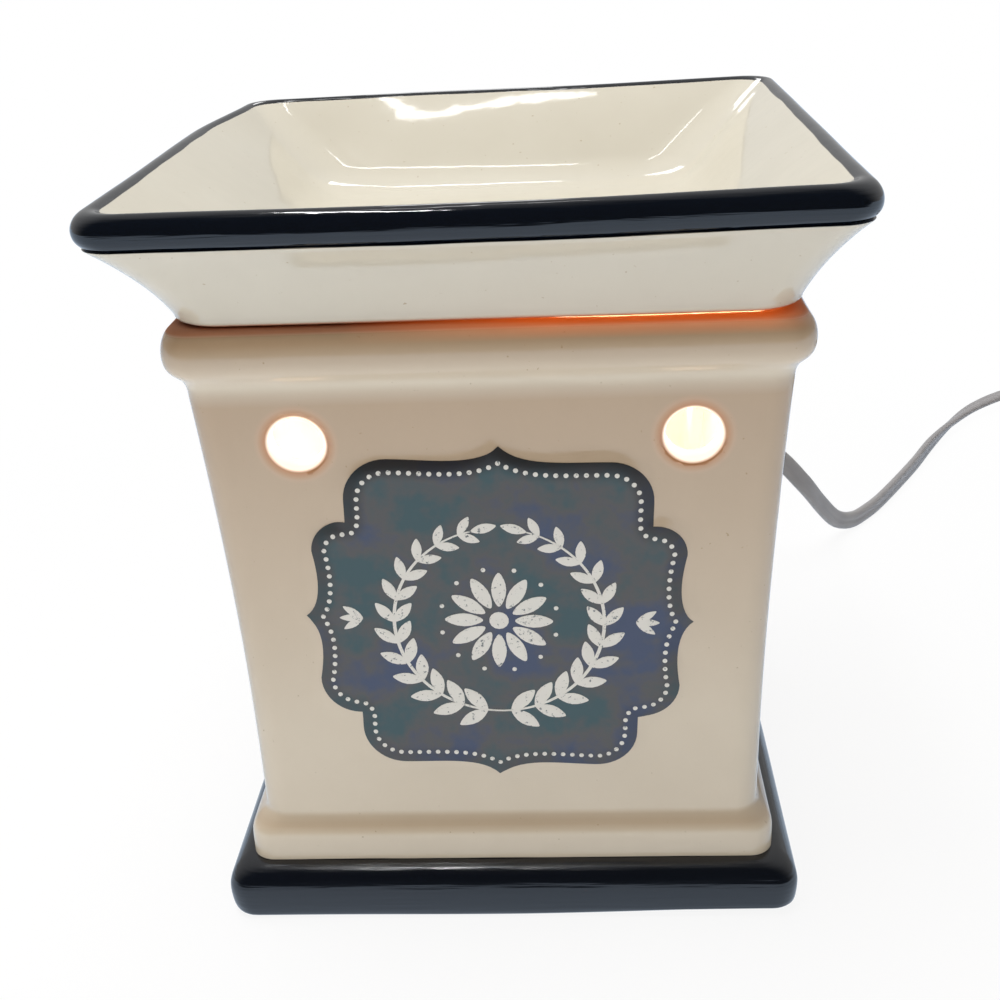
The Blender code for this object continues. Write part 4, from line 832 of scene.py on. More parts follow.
def body_levels():
    """Underside recess, plinth, skirt, wall, cove, collar, crowned seat, cavity wall and floor."""
    levels = [
        (RECESS_HALF, FLOOR_LOW, BODY_CORNER), (RECESS_HALF, LEDGE_Z, BODY_CORNER),
        (LEDGE_HALF, LEDGE_Z, BODY_CORNER), (LEDGE_HALF, BASE_Z, BODY_CORNER),
        (PLINTH_HALF - LIP_INSET, BASE_Z, PLINTH_CORNER),
    ]
    foot = (PLINTH_EDGE, PLINTH_BULGE - BASE_Z + LIP_DROP)
    for half, z in arc((PLINTH_HALF - foot[0], PLINTH_BULGE), foot, -90, 0, 8):
        levels.append((half, z, PLINTH_CORNER))
    crown = (PLINTH_HALF - SKIRT_HALF, PLINTH_TOP - PLINTH_BULGE)
    for half, z in list(arc((SKIRT_HALF, PLINTH_BULGE), crown, 0, 90, 16))[1:]:
        levels.append((half, z, PLINTH_CORNER))
    steps = 16
    for i in range(1, steps + 1):
        share = i / steps
        flare = 0.5 + 0.5 * math.cos(math.pi * share ** 4)
        corner = PLINTH_CORNER + (BODY_CORNER - PLINTH_CORNER) * ease(share)
        half = NECK_HALF + (SKIRT_HALF - NECK_HALF) * flare
        levels.append((half, PLINTH_TOP + (NECK_Z - PLINTH_TOP) * share, corner))
    steps = round((WALL_TOP - NECK_Z) / MM)
    for i in range(1, steps + 1):
        z = NECK_Z + (WALL_TOP - NECK_Z) * i / steps
        levels.append((wall_half(z), z, BODY_CORNER))
    roll = (COLLAR_ROLL, (BODY_TOP - COLLAR_LOW) / 2)
    widest = (SEAT_OUTER + roll[0], COLLAR_LOW + roll[1])
    for half, z in bezier((WALL_TOP_HALF, WALL_TOP), (WALL_TOP_HALF, WALL_TOP + COVE_REACH),
                          (widest[0], widest[1] - COVE_REACH), widest, 20):
        levels.append((half, z, BODY_CORNER))
    for half, z in list(arc((SEAT_OUTER, widest[1]), roll, 0, 90, 12))[1:]:
        levels.append((half, z, BODY_CORNER))
    level, drop = 0.45, 1.6 * MM / 0.3
    steps = 8
    for i in range(1, steps + 1):
        share = i / steps
        fall = drop * max(0.0, share - level) ** 2
        levels.append((SEAT_OUTER + (SEAT_INNER - SEAT_OUTER) * share, BODY_TOP - fall, BODY_CORNER))
    low = FLOOR_TOP + CAVITY_FILLET
    inside = [(SEAT_INNER - 0.0004, BODY_TOP - 0.0035, BODY_CORNER)]
    steps = 16
    for i in range(steps, -1, -1):
        z = low + (WALL_TOP - low) * i / steps
        inside.append((wall_half(z) - BODY_WALL, z, BODY_CORNER))
    fillet = wall_half(low) - BODY_WALL - CAVITY_FILLET
    for half, z in list(arc((fillet, low), (CAVITY_FILLET,) * 2, 0, -90, 5))[1:]:
        inside.append((half, z, BODY_CORNER))
    return levels + inside


def plaque_quarter(notch_in, notch_down, side_corner):
    """A quarter of the plaque's outline, from its right point round to its top point."""
    right, top = PLAQUE_HALF_WIDTH, PLAQUE_HALF_HEIGHT
    side, crown = right - PLAQUE_SIDE_POINT, top - PLAQUE_TOP_POINT
    notch_x, notch_z = right - notch_in, top - notch_down
    side_z = notch_z - side_corner
    crown_x = notch_x - PLAQUE_CROWN_CORNER
    quarter = [(right, 0.0)]
    quarter += bezier(quarter[-1], (right - 1.4 * PLAQUE_SIDE_POINT, 0.15 * side_z),
                      (side - 0.7 * PLAQUE_SIDE_POINT, 0.5 * side_z), (side, side_z), 12)
    quarter += list(arc((side - side_corner, side_z), (side_corner,) * 2, 0, 90, 12))[1:]
    quarter.append((notch_x, notch_z))
    quarter += arc((crown_x, crown - PLAQUE_CROWN_CORNER), (PLAQUE_CROWN_CORNER,) * 2, 0, 90, 12)
    quarter += bezier(quarter[-1], (0.6 * crown_x, crown),
                      (0.2 * crown_x, crown - 0.5 * PLAQUE_TOP_POINT), (0.0, top), 14)
    return quarter


def plaque_outline():
    """Bracket-shaped outline about the plaque's centre, counter-clockwise from its lowest point."""
    top = plaque_quarter(PLAQUE_TOP_NOTCH_IN, PLAQUE_TOP_NOTCH_DOWN, PLAQUE_TOP_SIDE_CORNER)
    foot = plaque_quarter(PLAQUE_FOOT_NOTCH_IN, PLAQUE_FOOT_NOTCH_UP, PLAQUE_FOOT_SIDE_CORNER)
    right = [(x, -z) for x, z in reversed(foot)] + top[1:]
    return [Vector(p) for p in right + [(-x, z) for x, z in reversed(right[1:-1])]]


def along_loop(points, spacing):
    """Evenly spaced points along a closed outline."""
    return evenly(points + points[:1], spacing, closed=True)


class PlaqueShape:
    """The plaque's outline and how far inside or outside it a point of the front lies."""

    def __init__(self):
        self.outline = plaque_outline()
        fine = along_loop(self.outline, 0.2 * MM)
        self.tree = kdtree.KDTree(len(fine))
        for i, p in enumerate(fine):
            self.tree.insert((p.x, p.y, 0), i)
        self.tree.balance()

    def depth(self, x, z):
        """Distance to the outline, positive inside."""
        distance = self.tree.find((x, z, 0))[2]
        inside = False
        for a, b in zip(self.outline, self.outline[1:] + self.outline[:1]):
            if (a.y > z) != (b.y > z) and x < a.x + (b.x - a.x) * (z - a.y) / (b.y - a.y):
                inside = not inside
        return distance if inside else -distance


PLAQUE = PlaqueShape()


def plaque_rise(x, z):
    """How far the plaque stands out of the front wall at a point about its centre."""
    return PLAQUE_RISE * ease(0.5 + PLAQUE.depth(x, z) / PLAQUE_SHOULDER / 2)


def raise_plaque(bm):
    """Push the plaque out of the front wall with soft shoulders."""
    reach = 1.5 * PLAQUE_SHOULDER
    for v in bm.verts:
        x, z = v.co.x, v.co.z - PLAQUE_Z
        near = abs(x) < PLAQUE_HALF_WIDTH + reach and abs(z) < PLAQUE_HALF_HEIGHT + reach
        if near and v.co.y < -wall_half(v.co.z) + BODY_WALL / 2:
            v.co.y -= plaque_rise(x, z)


def warp_seat(bm):
    """Draw the collar's top down a little at its front right, where light leaks out under the dish."""
    depth, left, width, front, reach = 5 * MM, -12 * MM, 40 * MM, 30 * MM, 22 * MM
    for v in bm.verts:
        down = ease((v.co.z - BODY_TOP + depth) / depth)
        across = ease((v.co.x - left) / width) * ease((-v.co.y - front) / reach)
        v.co.z -= SEAT_WARP * down * across


def warp_lip(bm):
    """Draw the plinth's lip up towards its right, as firing left it."""
    for v in bm.verts:
        down = ease((BASE_Z - v.co.z) / LIP_DROP)
        v.co.z += LIP_RISE * LIP_DROP * down * ease(v.co.x / PLINTH_HALF)


def warp_rim(bm):
    """Tip the rim forward, lift its right side and draw in its back left corner, as firing left them."""
    for v in bm.verts:
        up = ease((v.co.z - DISH_Z) / (DISH_TOP - DISH_Z))
        across, back = v.co.x / RIM_HALF, v.co.y / RIM_HALF
        drawn = RIM_CORNER_DRAW * up * ease(1 + (back - across - 2) / RIM_CORNER_REACH)
        lifted = RIM_LIFT + RIM_TIP * back + RIM_RIGHT_UP * ease(across)
        v.co += Vector((drawn + RIM_LEAN * up, -drawn, up * lifted))


def make_body(glaze):
    """Slip-cast body: fine enough on its front for the plaque's soft relief."""
    bm = bmesh.new()
    draw_up(bm, ring_spots((100, 24, 24, 24), 9), square(body_levels()))
    raise_plaque(bm)
    warp_seat(bm)
    warp_lip(bm)
    for v in bm.verts:
        v.co += cast_wobble(v.co)
    body = make_piece(bm, "glazed_body", "base", glaze, ("body_shell",), crease=50)
    lean = math.atan2(wall_half(LIGHT_HOLE_Z + MM) - wall_half(LIGHT_HOLE_Z - MM), 2 * MM)
    inward = Vector((0, math.cos(lean), math.sin(lean)))
    for x in LIGHT_HOLE_PLACES:
        mouth = Vector((x, -wall_half(LIGHT_HOLE_Z), LIGHT_HOLE_Z))
        mouth += cast_wobble(mouth)
        cut_hole(body, LIGHT_HOLE_RADIUS, LIGHT_HOLE_EASE, mouth, inward, 4 * BODY_WALL)
    at_relief = (0, wall_half(RELIEF_END.z), RELIEF_END.z)
    cut_hole(body, CORD_HOLE_RADIUS, HOLE_EASE, at_relief, (0, -1, 0), 4 * BODY_WALL)
    cut_hole(body, NIPPLE_HOLE_RADIUS, HOLE_EASE, (0, 0, FLOOR_TOP), (0, 0, -1), 2 * BODY_WALL)
    return body


def dish_levels():
    """The dish's section from its floor, up the fillet and over the rolled rim, to its flat underside."""
    levels = [(DISH_FLOOR_HALF - 0.004, DISH_FLOOR_Z, DISH_FLOOR_CORNER)]
    fillet = (DISH_FLOOR_HALF, DISH_FLOOR_Z + DISH_FILLET)
    for half, z in arc(fillet, (DISH_FILLET,) * 2, -90, DISH_WALL_SLOPE - 90, 16):
        levels.append((half, z, DISH_FLOOR_CORNER))
    roll = (RIM_THICKNESS / 2, (DISH_TOP - RIM_LOW) / 2)
    rim = (RIM_HALF - roll[0], DISH_TOP - roll[1])
    inside = 120
    inner_top = next(arc(rim, roll, inside, inside, 1))
    start = levels[-1]
    steps = 12
    for i in range(1, steps):
        share = i / steps
        bow = 0.4 * MM * math.sin(math.pi * share)
        levels.append((start[0] + (inner_top[0] - start[0]) * share,
                       start[1] + (inner_top[1] - start[1]) * share + bow,
                       DISH_FLOOR_CORNER + (RIM_CORNER - DISH_FLOOR_CORNER) * share))
    for half, z in arc(rim, roll, inside, -60, 24):
        levels.append((half, z, RIM_CORNER))
    wall_top = RIM_HALF - RIM_STEP
    levels.append((wall_top + 0.0001, RIM_LOW + 0.0002, RIM_CORNER))
    steps = 16
    for i in range(steps + 1):
        share = i / steps
        sag = DISH_SAG * 4 * share * (1 - share)
        levels.append((wall_top + (DISH_BASE_HALF - wall_top) * share - sag,
                       RIM_LOW + (DISH_Z + DISH_BASE_EDGE - RIM_LOW) * share,
                       RIM_CORNER + (DISH_BASE_CORNER - RIM_CORNER) * share))
    edge = (DISH_BASE_EDGE,) * 2
    for half, z in list(arc((DISH_BASE_HALF - edge[0], DISH_Z + edge[1]), edge, 0, -90, 6))[1:]:
        levels.append((half, z, DISH_BASE_CORNER))
    return levels


def mark_paint_edge(bm):
    """Note how far each point lies past the dark glaze's edges, inside the rim's crest and at the step."""
    mark = bm.verts.layers.float.new("past_paint_edge")
    inner = RIM_HALF - RIM_THICKNESS / 2 - RIM_PAINT_INSET - RIM_CORNER
    for v in bm.verts:
        out = Vector((max(0.0, abs(v.co.x) - inner), max(0.0, abs(v.co.y) - inner)))
        v[mark] = min(out.length - RIM_CORNER, v.co.z - RIM_LOW - 0.1 * MM)


def make_dish(glaze):
    """Slip-cast dish with a rolled rim."""
    bm = bmesh.new()
    draw_up(bm, ring_spots((40, 40, 40, 40), 10), square(dish_levels()))
    mark_paint_edge(bm)
    warp_rim(bm)
    for v in bm.verts:
        v.co += cast_wobble(v.co)
    return make_piece(bm, "glazed_dish", "dish", glaze, ("wax_dish",), crease=50)


# Fired print on the plaque

def lay_on_plaque(bm, lift, thickness):
    """Give flat shapes about the plaque's centre a thickness and lay them on its bent face."""
    grown = bmesh.ops.extrude_face_region(bm, geom=bm.faces[:])["geom"]
    back = {g for g in grown if isinstance(g, bmesh.types.BMVert)}
    turn = Matrix.Rotation(PRINT_TURN, 2)
    for v in bm.verts:
        x, z = turn @ Vector((v.co.x, v.co.z))
        raised = lift - thickness if v in back else lift
        v.co = (x, -wall_half(z + PLAQUE_Z) - plaque_rise(x, z) - raised, z + PLAQUE_Z)
    for v in bm.verts:
        v.co += cast_wobble(v.co)


def make_plaque_face(board):
    """The dark printed ground; each point keeps its distance from the edge for the ink's fade and the
    painted shade along its edge.
    """
    bm = bmesh.new()
    verts = [bm.verts.new((p.x, 0, p.y)) for p in PLAQUE.outline]
    face = bmesh.ops.contextual_create(bm, geom=verts)["faces"]
    insets, inset, bands = 5, 0.9 * MM, 80
    for _ in range(insets):
        bmesh.ops.inset_region(bm, faces=face, thickness=inset, use_even_offset=True)
    for axis, half in ((Vector((0, 0, 1)), PLAQUE_HALF_HEIGHT), (Vector((1, 0, 0)), PLAQUE_HALF_WIDTH)):
        for i in range(1, bands):
            bmesh.ops.bisect_plane(bm, geom=bm.verts[:] + bm.edges[:] + bm.faces[:],
                                   plane_co=axis * half * (2 * i / bands - 1), plane_no=axis)
    edge = bm.verts.layers.float.new("from_edge")
    for v in bm.verts:
        v[edge] = PLAQUE.depth(v.co.x, v.co.z) / MM
    lay_on_plaque(bm, PRINT_LIFT, 5 * PRINT_LIFT)
    return make_piece(bm, "plaque_ground", "base", board, crease=60)


def print_disc(bm, place, radius):
    """Round dot."""
    turn = Matrix.Translation((place.x, 0, place.y)) @ Matrix.Rotation(TURN / 4, 4, "X")
    bmesh.ops.create_circle(bm, cap_ends=True, radius=radius, segments=14, matrix=turn)


def print_leaf(bm, place, angle, length, width, point=0.5):
    """Almond shape that grows from a place along an angle."""
    made = bmesh.ops.create_circle(bm, cap_ends=True, radius=0.5, segments=18)["verts"]
    for v in made:
        v.co.y *= 1 - point * (2 * v.co.x) ** 2
        v.co.x += 0.5
    turn = (Matrix.Translation((place.x, 0, place.y)) @ Matrix.Rotation(TURN / 4, 4, "X")
            @ Matrix.Rotation(angle, 4, "Z") @ Matrix.Diagonal((length, width, 1, 1)))
    bmesh.ops.transform(bm, matrix=turn, verts=made)


def print_stroke(bm, points, width):
    """Chalk line along points, thinner at both ends."""
    last = len(points) - 1
    rows = []
    for i, p in enumerate(points):
        along = (points[min(i + 1, last)] - points[max(i - 1, 0)]).normalized()
        side = Vector((-along.y, along.x)) * width / 2 * (0.4 + 0.6 * math.sin(math.pi * i / last))
        rows.append([bm.verts.new((q.x, 0, q.y)) for q in (p + side, p - side)])
    for (a, b), (c, d) in zip(rows, rows[1:]):
        bm.faces.new((a, b, d, c))


def make_plaque_dots(chalk):
    """A row of dots that follows the plaque's outline."""
    inset, spacing, radius = 2.7 * MM, 2.05 * MM, 0.52 * MM
    outline = along_loop(PLAQUE.outline, 0.3 * MM)
    row = []
    for i, p in enumerate(outline):
        along = (outline[(i + 1) % len(outline)] - outline[i - 1]).normalized()
        inner = p + Vector((-along.y, along.x)) * inset
        if PLAQUE.depth(inner.x, inner.y) > inset - 0.1 * MM:
            row.append(inner)
    bm = bmesh.new()
    for place in along_loop(row, spacing):
        print_disc(bm, place, radius)
    lay_on_plaque(bm, CHALK_LIFT, CHALK_THICKNESS)
    return make_piece(bm, "plaque_dots", "base", chalk)


def spray_point(side, share):
    """A place on one of the wreath's two sprays, and its angle about the middle."""
    start, sweep_angle, drop = -101, 176, 0.5 * MM
    angle = math.radians(start + sweep_angle * share)
    return Vector((side * SPRAY_RADIUS * math.cos(angle), SPRAY_RADIUS * math.sin(angle) - drop)), angle


def leaf_heading(side, heading):
    """A heading on the right, or its mirror image on the left."""
    return heading if side > 0 else math.pi - heading


def make_plaque_wreath(chalk):
    """Two leafy sprays that curve up round a daisy, with a sprig at each side."""
    leaves, petals, steps = 12, 12, 40
    bm = bmesh.new()
    for side in (-1, 1):
        print_stroke(bm, [spray_point(side, i / steps)[0] for i in range(steps + 1)], 0.75 * MM)
        for i in range(leaves):
            up = i / (leaves - 1)
            place, angle = spray_point(side, 0.10 + 0.86 * up)
            size = 1 - 0.35 * up
            for lean in (-40, 40):
                heading = leaf_heading(side, angle + TURN / 4 + math.radians(lean))
                print_leaf(bm, place, heading, 7.4 * MM * size, 3.1 * MM * size)
        tip, angle = spray_point(side, 1.0)
        print_leaf(bm, tip, leaf_heading(side, angle + TURN / 4), 5.6 * MM, 2.2 * MM)
        for lean in (-34, 0, 34):
            heading = leaf_heading(side, math.radians(lean))
            print_leaf(bm, Vector((side * 29.2 * MM, 0)), heading, 5.0 * MM, 1.7 * MM)
    for i in range(petals):
        angle = TURN * i / petals + TURN / 4
        out = Vector((math.cos(angle), math.sin(angle)))
        print_leaf(bm, out * 3.4 * MM, angle, 8.2 * MM, 3.2 * MM, 0.35)
        between = angle + TURN / petals / 2
        print_disc(bm, Vector((math.cos(between), math.sin(between))) * 12.6 * MM, 0.5 * MM)
    print_disc(bm, Vector((0, 0)), 2.1 * MM)
    lay_on_plaque(bm, CHALK_LIFT, CHALK_THICKNESS)
    return make_piece(bm, "plaque_wreath", "base", chalk)


# Bulb and lamp holder

def make_globe(glass):
    """Frosted globe with a neck that goes down into its cap."""
    radius, neck, wall = 0.0250, 0.0048, 0.0009
    low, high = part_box("bulb_globe")
    middle = high.z - radius
    shoulder = math.radians(24)

    def skin(inset):
        foot = (neck - inset, low.z)
        bend = (neck - inset, low.z + 0.0116)
        meet = ((radius - inset) * math.sin(shoulder), middle - (radius - inset) * math.cos(shoulder))
        away = (meet[0] - 0.0030, meet[1] - 0.0030 * math.tan(shoulder))
        ball = list(arc((0, middle), (radius - inset,) * 2, math.degrees(shoulder) - 90, 90, 30))
        swell = bezier(bend, (bend[0], bend[1] + 0.003), away, meet, 8)
        return [foot, bend, *swell, *ball[1:-1], (0, ball[-1][1])]

    bm = bmesh.new()
    outside, inside = skin(0), skin(wall)
    turn_profile(bm, outside, 64)
    turn_profile(bm, inside, 64)
    turn_profile(bm, [outside[0], inside[0]], 64)
    return make_piece(bm, "frosted_globe", "bulb", glass, ("bulb_globe",))


def make_bulb_cap(nickel):
    """Rolled screw cap of the bulb."""
    low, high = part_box("bulb_cap")
    radius, wall, dip = high.x, 0.0004, 0.0005
    thread_low, thread_top = low.z + 0.0026, high.z - 0.0022
    profile = [(0, low.z), (radius - 0.0012, low.z),
               *rippled(radius - dip, -dip, thread_low, thread_top, 5, 10),
               (radius - 0.0001, high.z - 0.0006), (radius - wall / 2, high.z),
               (radius - 2 * wall, high.z - 0.0004), (radius - 2 * wall - dip, low.z + 0.0034),
               (0, low.z + 0.0030)]
    bm = bmesh.new()
    turn_profile(bm, profile, 48)
    return make_piece(bm, "rolled_bulb_cap", "bulb", nickel, ("bulb_cap",))


def make_holder(phenolic, brass):
    """Moulded lamp holder with grip rings, and the threaded shell in its bore."""
    low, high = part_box("holder_body")
    outer, bore, socket, edge = high.x, 0.0076, 0.0052, 0.0006
    web_low, web_top = low.z + 0.0063, low.z + 0.0088
    profile = [(0, web_low), (socket, web_low), (socket, low.z), (outer - edge, low.z),
               (outer, low.z + edge), (outer, low.z + 0.0030), (outer - edge, low.z + 0.0034),
               (outer - edge, low.z + 0.0080), (outer, low.z + 0.0084),
               *rippled(outer, 0.0008, low.z + 0.0166, high.z - 0.0030, 5, 8),
               (outer, high.z - edge), (outer - edge, high.z), (bore + edge, high.z),
               (bore, high.z - edge), (bore, web_top), (0, web_top)]
    bm = bmesh.new()
    turn_profile(bm, profile, 64)
    make_piece(bm, "moulded_lamp_holder", "base", phenolic, ("holder_body",))
    low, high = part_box("screw_shell")
    wall, dip = 0.0004, 0.0003
    outside = list(rippled(high.x, dip, low.z, high.z, 6, 10))
    inside = [(radius - wall, z) for radius, z in reversed(outside)]
    bm = bmesh.new()
    turn_profile(bm, outside + inside + outside[:1], 48)
    make_piece(bm, "threaded_shell", "base", brass, ("screw_shell",))


def make_feet(rubber):
    """Stick-on bumpers with a domed edge."""
    rounding, edge = 0.0014, 0.0002
    for i in range(1, 5):
        node = f"foot_{i}"
        low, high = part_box(node)
        middle = (low + high) / 2
        radius, height = (high.x - low.x) / 2, high.z - low.z
        dome = arc((radius - rounding, height - edge), (rounding, height - edge), 0, -90, 8)
        profile = [(0, height), (radius - edge, height), *dome, (0, 0)]
        bm = bmesh.new()
        turn_profile(bm, profile, 32)
        bm.transform(Matrix.Translation((middle.x, middle.y, low.z)))
        make_piece(bm, f"domed_{node}", "base", rubber, (node,))


def dress(finish, *nodes):
    """Give CAD nodes that stay in view their finish."""
    for node in nodes:
        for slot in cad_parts[node].material_slots:
            slot.material = finish


# Finishes

def glazed_earthenware(name, tones, dark_share, dark_roughness, bare_share, shade_share=None,
                       painted_glow=None):
    """Slip-cast earthenware, dipped in a clear cream glaze; the dark glaze is brushed on at its edges.

    Dipping gives a wet gloss, faint clouds of thicker and thinner glaze, and a soft orange peel.
    The brush leaves fine level streaks in the dark glaze. Where a shade share is given, painted shade
    turns the cream tan, and a painted glow lights the glaze by emission where the lamp's light falls.
    Where the dish and the body rest on each other they are wiped before firing, to dry, matt clay.
    """
    made, tree, shader, place = start_material(name)
    clouds = add(tree, "TexNoise", {"Vector": place, "Scale": 1 / (28 * MM), "Detail": 3.0,
                                    "Roughness": 0.55})
    cream = add(tree, "Mix", {0: clouds.outputs["Fac"], 6: colour(tones[0]), 7: colour(tones[1])},
                data_type="RGBA").outputs[2]
    specks = add(tree, "TexNoise", {"Vector": place, "Scale": 1 / (1.1 * MM), "Detail": 1.0})
    speck = add(tree, "MapRange", {"Value": specks.outputs["Fac"], "From Min": 0.76, "From Max": 0.82})
    cream = add(tree, "Mix", {0: speck.outputs[0], 6: cream, 7: colour("#B8AB93")},
                data_type="RGBA").outputs[2]
    # Painted shade: tan mixed into the cream where the body lies in shade.
    if shade_share:
        cream = add(tree, "Mix", {0: shade_share(tree, place), 6: cream, 7: colour("#AE8A62")},
                    data_type="RGBA").outputs[2]
    dark = dark_share(tree, place)
    both = add(tree, "Mix", {0: dark, 6: cream, 7: colour("#060B14")}, data_type="RGBA").outputs[2]
    bare = bare_share(tree, place)
    clay = add(tree, "Mix", {0: bare, 6: both, 7: colour("#BC805F")}, data_type="RGBA")
    tree.links.new(clay.outputs[2], shader.inputs["Base Color"])
    gloss = add(tree, "MapRange", {"Value": dark, "To Min": 0.06, "To Max": dark_roughness})
    matt = add(tree, "MapRange", {"Value": bare, "To Min": gloss.outputs[0], "To Max": 0.85})
    tree.links.new(matt.outputs[0], shader.inputs["Roughness"])
    shader.inputs["IOR"].default_value = 1.66
    peel = add(tree, "TexNoise", {"Vector": place, "Scale": 1 / (9 * MM), "Detail": 2.0})
    smooth = add(tree, "Bump", {"Height": peel.outputs["Fac"], "Strength": 0.14, "Distance": 0.5 * MM})
    level = add(tree, "Mapping", {"Vector": place, "Scale": (1.0, 1.0, 24.0)})
    streaks = add(tree, "TexNoise", {"Vector": level.outputs[0], "Scale": 1 / (20 * MM), "Detail": 2.0})
    brushed = add(tree, "Bump", {"Height": streaks.outputs["Fac"], "Strength": dark,
                                 "Distance": 0.12 * MM, "Normal": smooth.outputs[0]})
    tree.links.new(brushed.outputs[0], shader.inputs["Normal"])
    # Painted glow: emission in the glaze stands for the lamp's light falling on it.
    if painted_glow:
        tree.links.new(painted_glow(tree, place), shader.inputs["Emission Color"])
        shader.inputs["Emission Strength"].default_value = 1.0
    return made


def waver(tree, place, size):
    """An offset that wavers a little either way, as the edge of a brushed glaze does."""
    wave = add(tree, "TexNoise", {"Vector": place, "Scale": 1 / (22 * MM), "Detail": 1.0})
    return add(tree, "Math", {0: wave.outputs["Fac"], 1: size, 2: -size / 2},
               operation="MULTIPLY_ADD").outputs[0]


def above(tree, value, offset, start, fade=0.15 * MM):
    """1 where a wavering value is past a start, and 0 before it."""
    total = add(tree, "Math", {0: value, 1: offset})
    return add(tree, "MapRange", {"Value": total.outputs[0], "From Min": start,
                                  "From Max": start + fade}).outputs[0]


def dark_plinth(tree, place):
    """Dark up to the plinth's top."""
    height = add(tree, "SeparateXYZ", {0: place}).outputs["Z"]
    clear = above(tree, height, waver(tree, place, 0.4 * MM), PLINTH_TOP + 0.1 * MM)
    return add(tree, "Math", {0: 1.0, 1: clear}, operation="SUBTRACT").outputs[0]


def bare_seat(tree, place):
    """Bare clay on the collar's flat top."""
    height = add(tree, "SeparateXYZ", {0: place}).outputs["Z"]
    return above(tree, height, 0.0, BODY_TOP - 1.2 * MM, 0.6 * MM)


def bare_foot(tree, place):
    """Bare clay under the dish."""
    height = add(tree, "SeparateXYZ", {0: place}).outputs["Z"]
    glazed = above(tree, height, 0.0, DISH_Z + 0.3 * MM, 0.4 * MM)
    return add(tree, "Math", {0: 1.0, 1: glazed}, operation="SUBTRACT").outputs[0]


def past_hole_edge(tree, split):
    """Distance past the edge of the nearer light hole, and more behind the front wall."""
    left, right = LIGHT_HOLE_PLACES
    aside = add(tree, "Math", {0: split.outputs["X"], 1: (left + right) / 2}, operation="SUBTRACT")
    mirrored = add(tree, "Math", {0: aside.outputs[0]}, operation="ABSOLUTE")
    across = add(tree, "Math", {0: mirrored.outputs[0], 1: (right - left) / 2}, operation="SUBTRACT")
    rise = add(tree, "Math", {0: split.outputs["Z"], 1: LIGHT_HOLE_Z}, operation="SUBTRACT")
    behind = add(tree, "Math", {0: split.outputs["Y"], 1: 0.0}, operation="MAXIMUM")
    offset = add(tree, "CombineXYZ", {"X": across.outputs[0], "Y": rise.outputs[0],
                                      "Z": behind.outputs[0]})
    distance = add(tree, "VectorMath", {0: offset.outputs[0]}, operation="LENGTH").outputs["Value"]
    return add(tree, "Math", {0: distance, 1: LIGHT_HOLE_RADIUS}, operation="SUBTRACT").outputs[0]


def painted_lamp_glow(tree, place):
    """Painted lamp light as emission: white on the light holes' cut walls, a painted orange glow round the
    holes, and orange along the seat's right part, where light leaks out under the dish.
    """
    split = add(tree, "SeparateXYZ", {0: place})
    past = past_hole_edge(tree, split)
    cut_wall = add(tree, "MapRange", {"Value": past, "From Min": 0.25 * MM, "From Max": 0.8 * MM,
                                      "To Min": 1.0, "To Max": 0.0})
    halo = add(tree, "MapRange", {"Value": past, "From Min": 0.6 * MM, "From Max": 3.2 * MM,
                                  "To Min": 1.0, "To Max": 0.0})
    high = add(tree, "MapRange", {"Value": split.outputs["Z"], "From Min": BODY_TOP - 3.2 * MM,
                                  "From Max": BODY_TOP - 0.4 * MM})
    right = add(tree, "MapRange", {"Value": split.outputs["X"], "From Min": -0.028, "From Max": 0.012})
    end = add(tree, "MapRange", {"Value": split.outputs["X"], "From Min": 0.054, "From Max": 0.064,
                                 "To Min": 1.0, "To Max": 0.0})
    along = add(tree, "Math", {0: right.outputs[0], 1: end.outputs[0]}, operation="MULTIPLY")
    seat = add(tree, "Math", {0: high.outputs[0], 1: along.outputs[0]}, operation="MULTIPLY")
    orange = add(tree, "Mix", {0: seat.outputs[0], 6: colour("#000000"), 7: colour("#A84711")},
                 data_type="RGBA")
    edge = add(tree, "Mix", {0: halo.outputs[0], 6: orange.outputs[2], 7: colour("#62280A")},
               data_type="RGBA")
    return add(tree, "Mix", {0: cut_wall.outputs[0], 6: edge.outputs[2], 7: colour("#FFF8EA")},
               data_type="RGBA").outputs[2]


def painted_shade_tan(tree, place):
    """Painted shade: how far the cream turns tan, most in the skirt's crease, towards the top of the wall
    and over the collar under the dish, none in the cove, and also round the light holes' edges.
    """
    split = add(tree, "SeparateXYZ", {0: place})
    share = add(tree, "MapRange", {"Value": split.outputs["Z"], "From Max": BODY_TOP})
    ramp = add(tree, "ValToRGB", {"Fac": share.outputs[0]})
    stops = ramp.color_ramp.elements
    stops[0].position, stops[0].color = 0.0, (0.0, 0.0, 0.0, 1.0)
    stops[1].position, stops[1].color = 1.0, (0.75, 0.75, 0.75, 1.0)
    for z, shade_level in ((NECK_Z - 4.0 * MM, 0.05), (NECK_Z - 1.8 * MM, 0.45), (NECK_Z + 0.8 * MM, 0.05),
                    (NECK_Z + 24 * MM, 0.05), (NECK_Z + 62 * MM, 0.33), (WALL_TOP - 1.5 * MM, 0.58),
                    (WALL_TOP + 2.6 * MM, 0.0), (COLLAR_LOW + 3 * MM, 0.25), (COLLAR_LOW + 6 * MM, 0.48),
                    (BODY_TOP - 2.5 * MM, 0.75)):
        stops.new(z / BODY_TOP).color = (shade_level, shade_level, shade_level, 1.0)
    edge = add(tree, "MapRange", {"Value": past_hole_edge(tree, split), "From Min": 0.5 * MM,
                                  "From Max": 4.5 * MM, "To Min": 1.0, "To Max": 0.0})
    return add(tree, "Math", {0: ramp.outputs[0], 1: edge.outputs[0]}, operation="MAXIMUM").outputs[0]


def dark_rim(tree, place):
    """Dark from just inside the rim's crest outward, down to the step under it."""
    past = add(tree, "Attribute", attribute_name="past_paint_edge")
    return above(tree, past.outputs["Fac"], waver(tree, place, 0.7 * MM), 0.0)


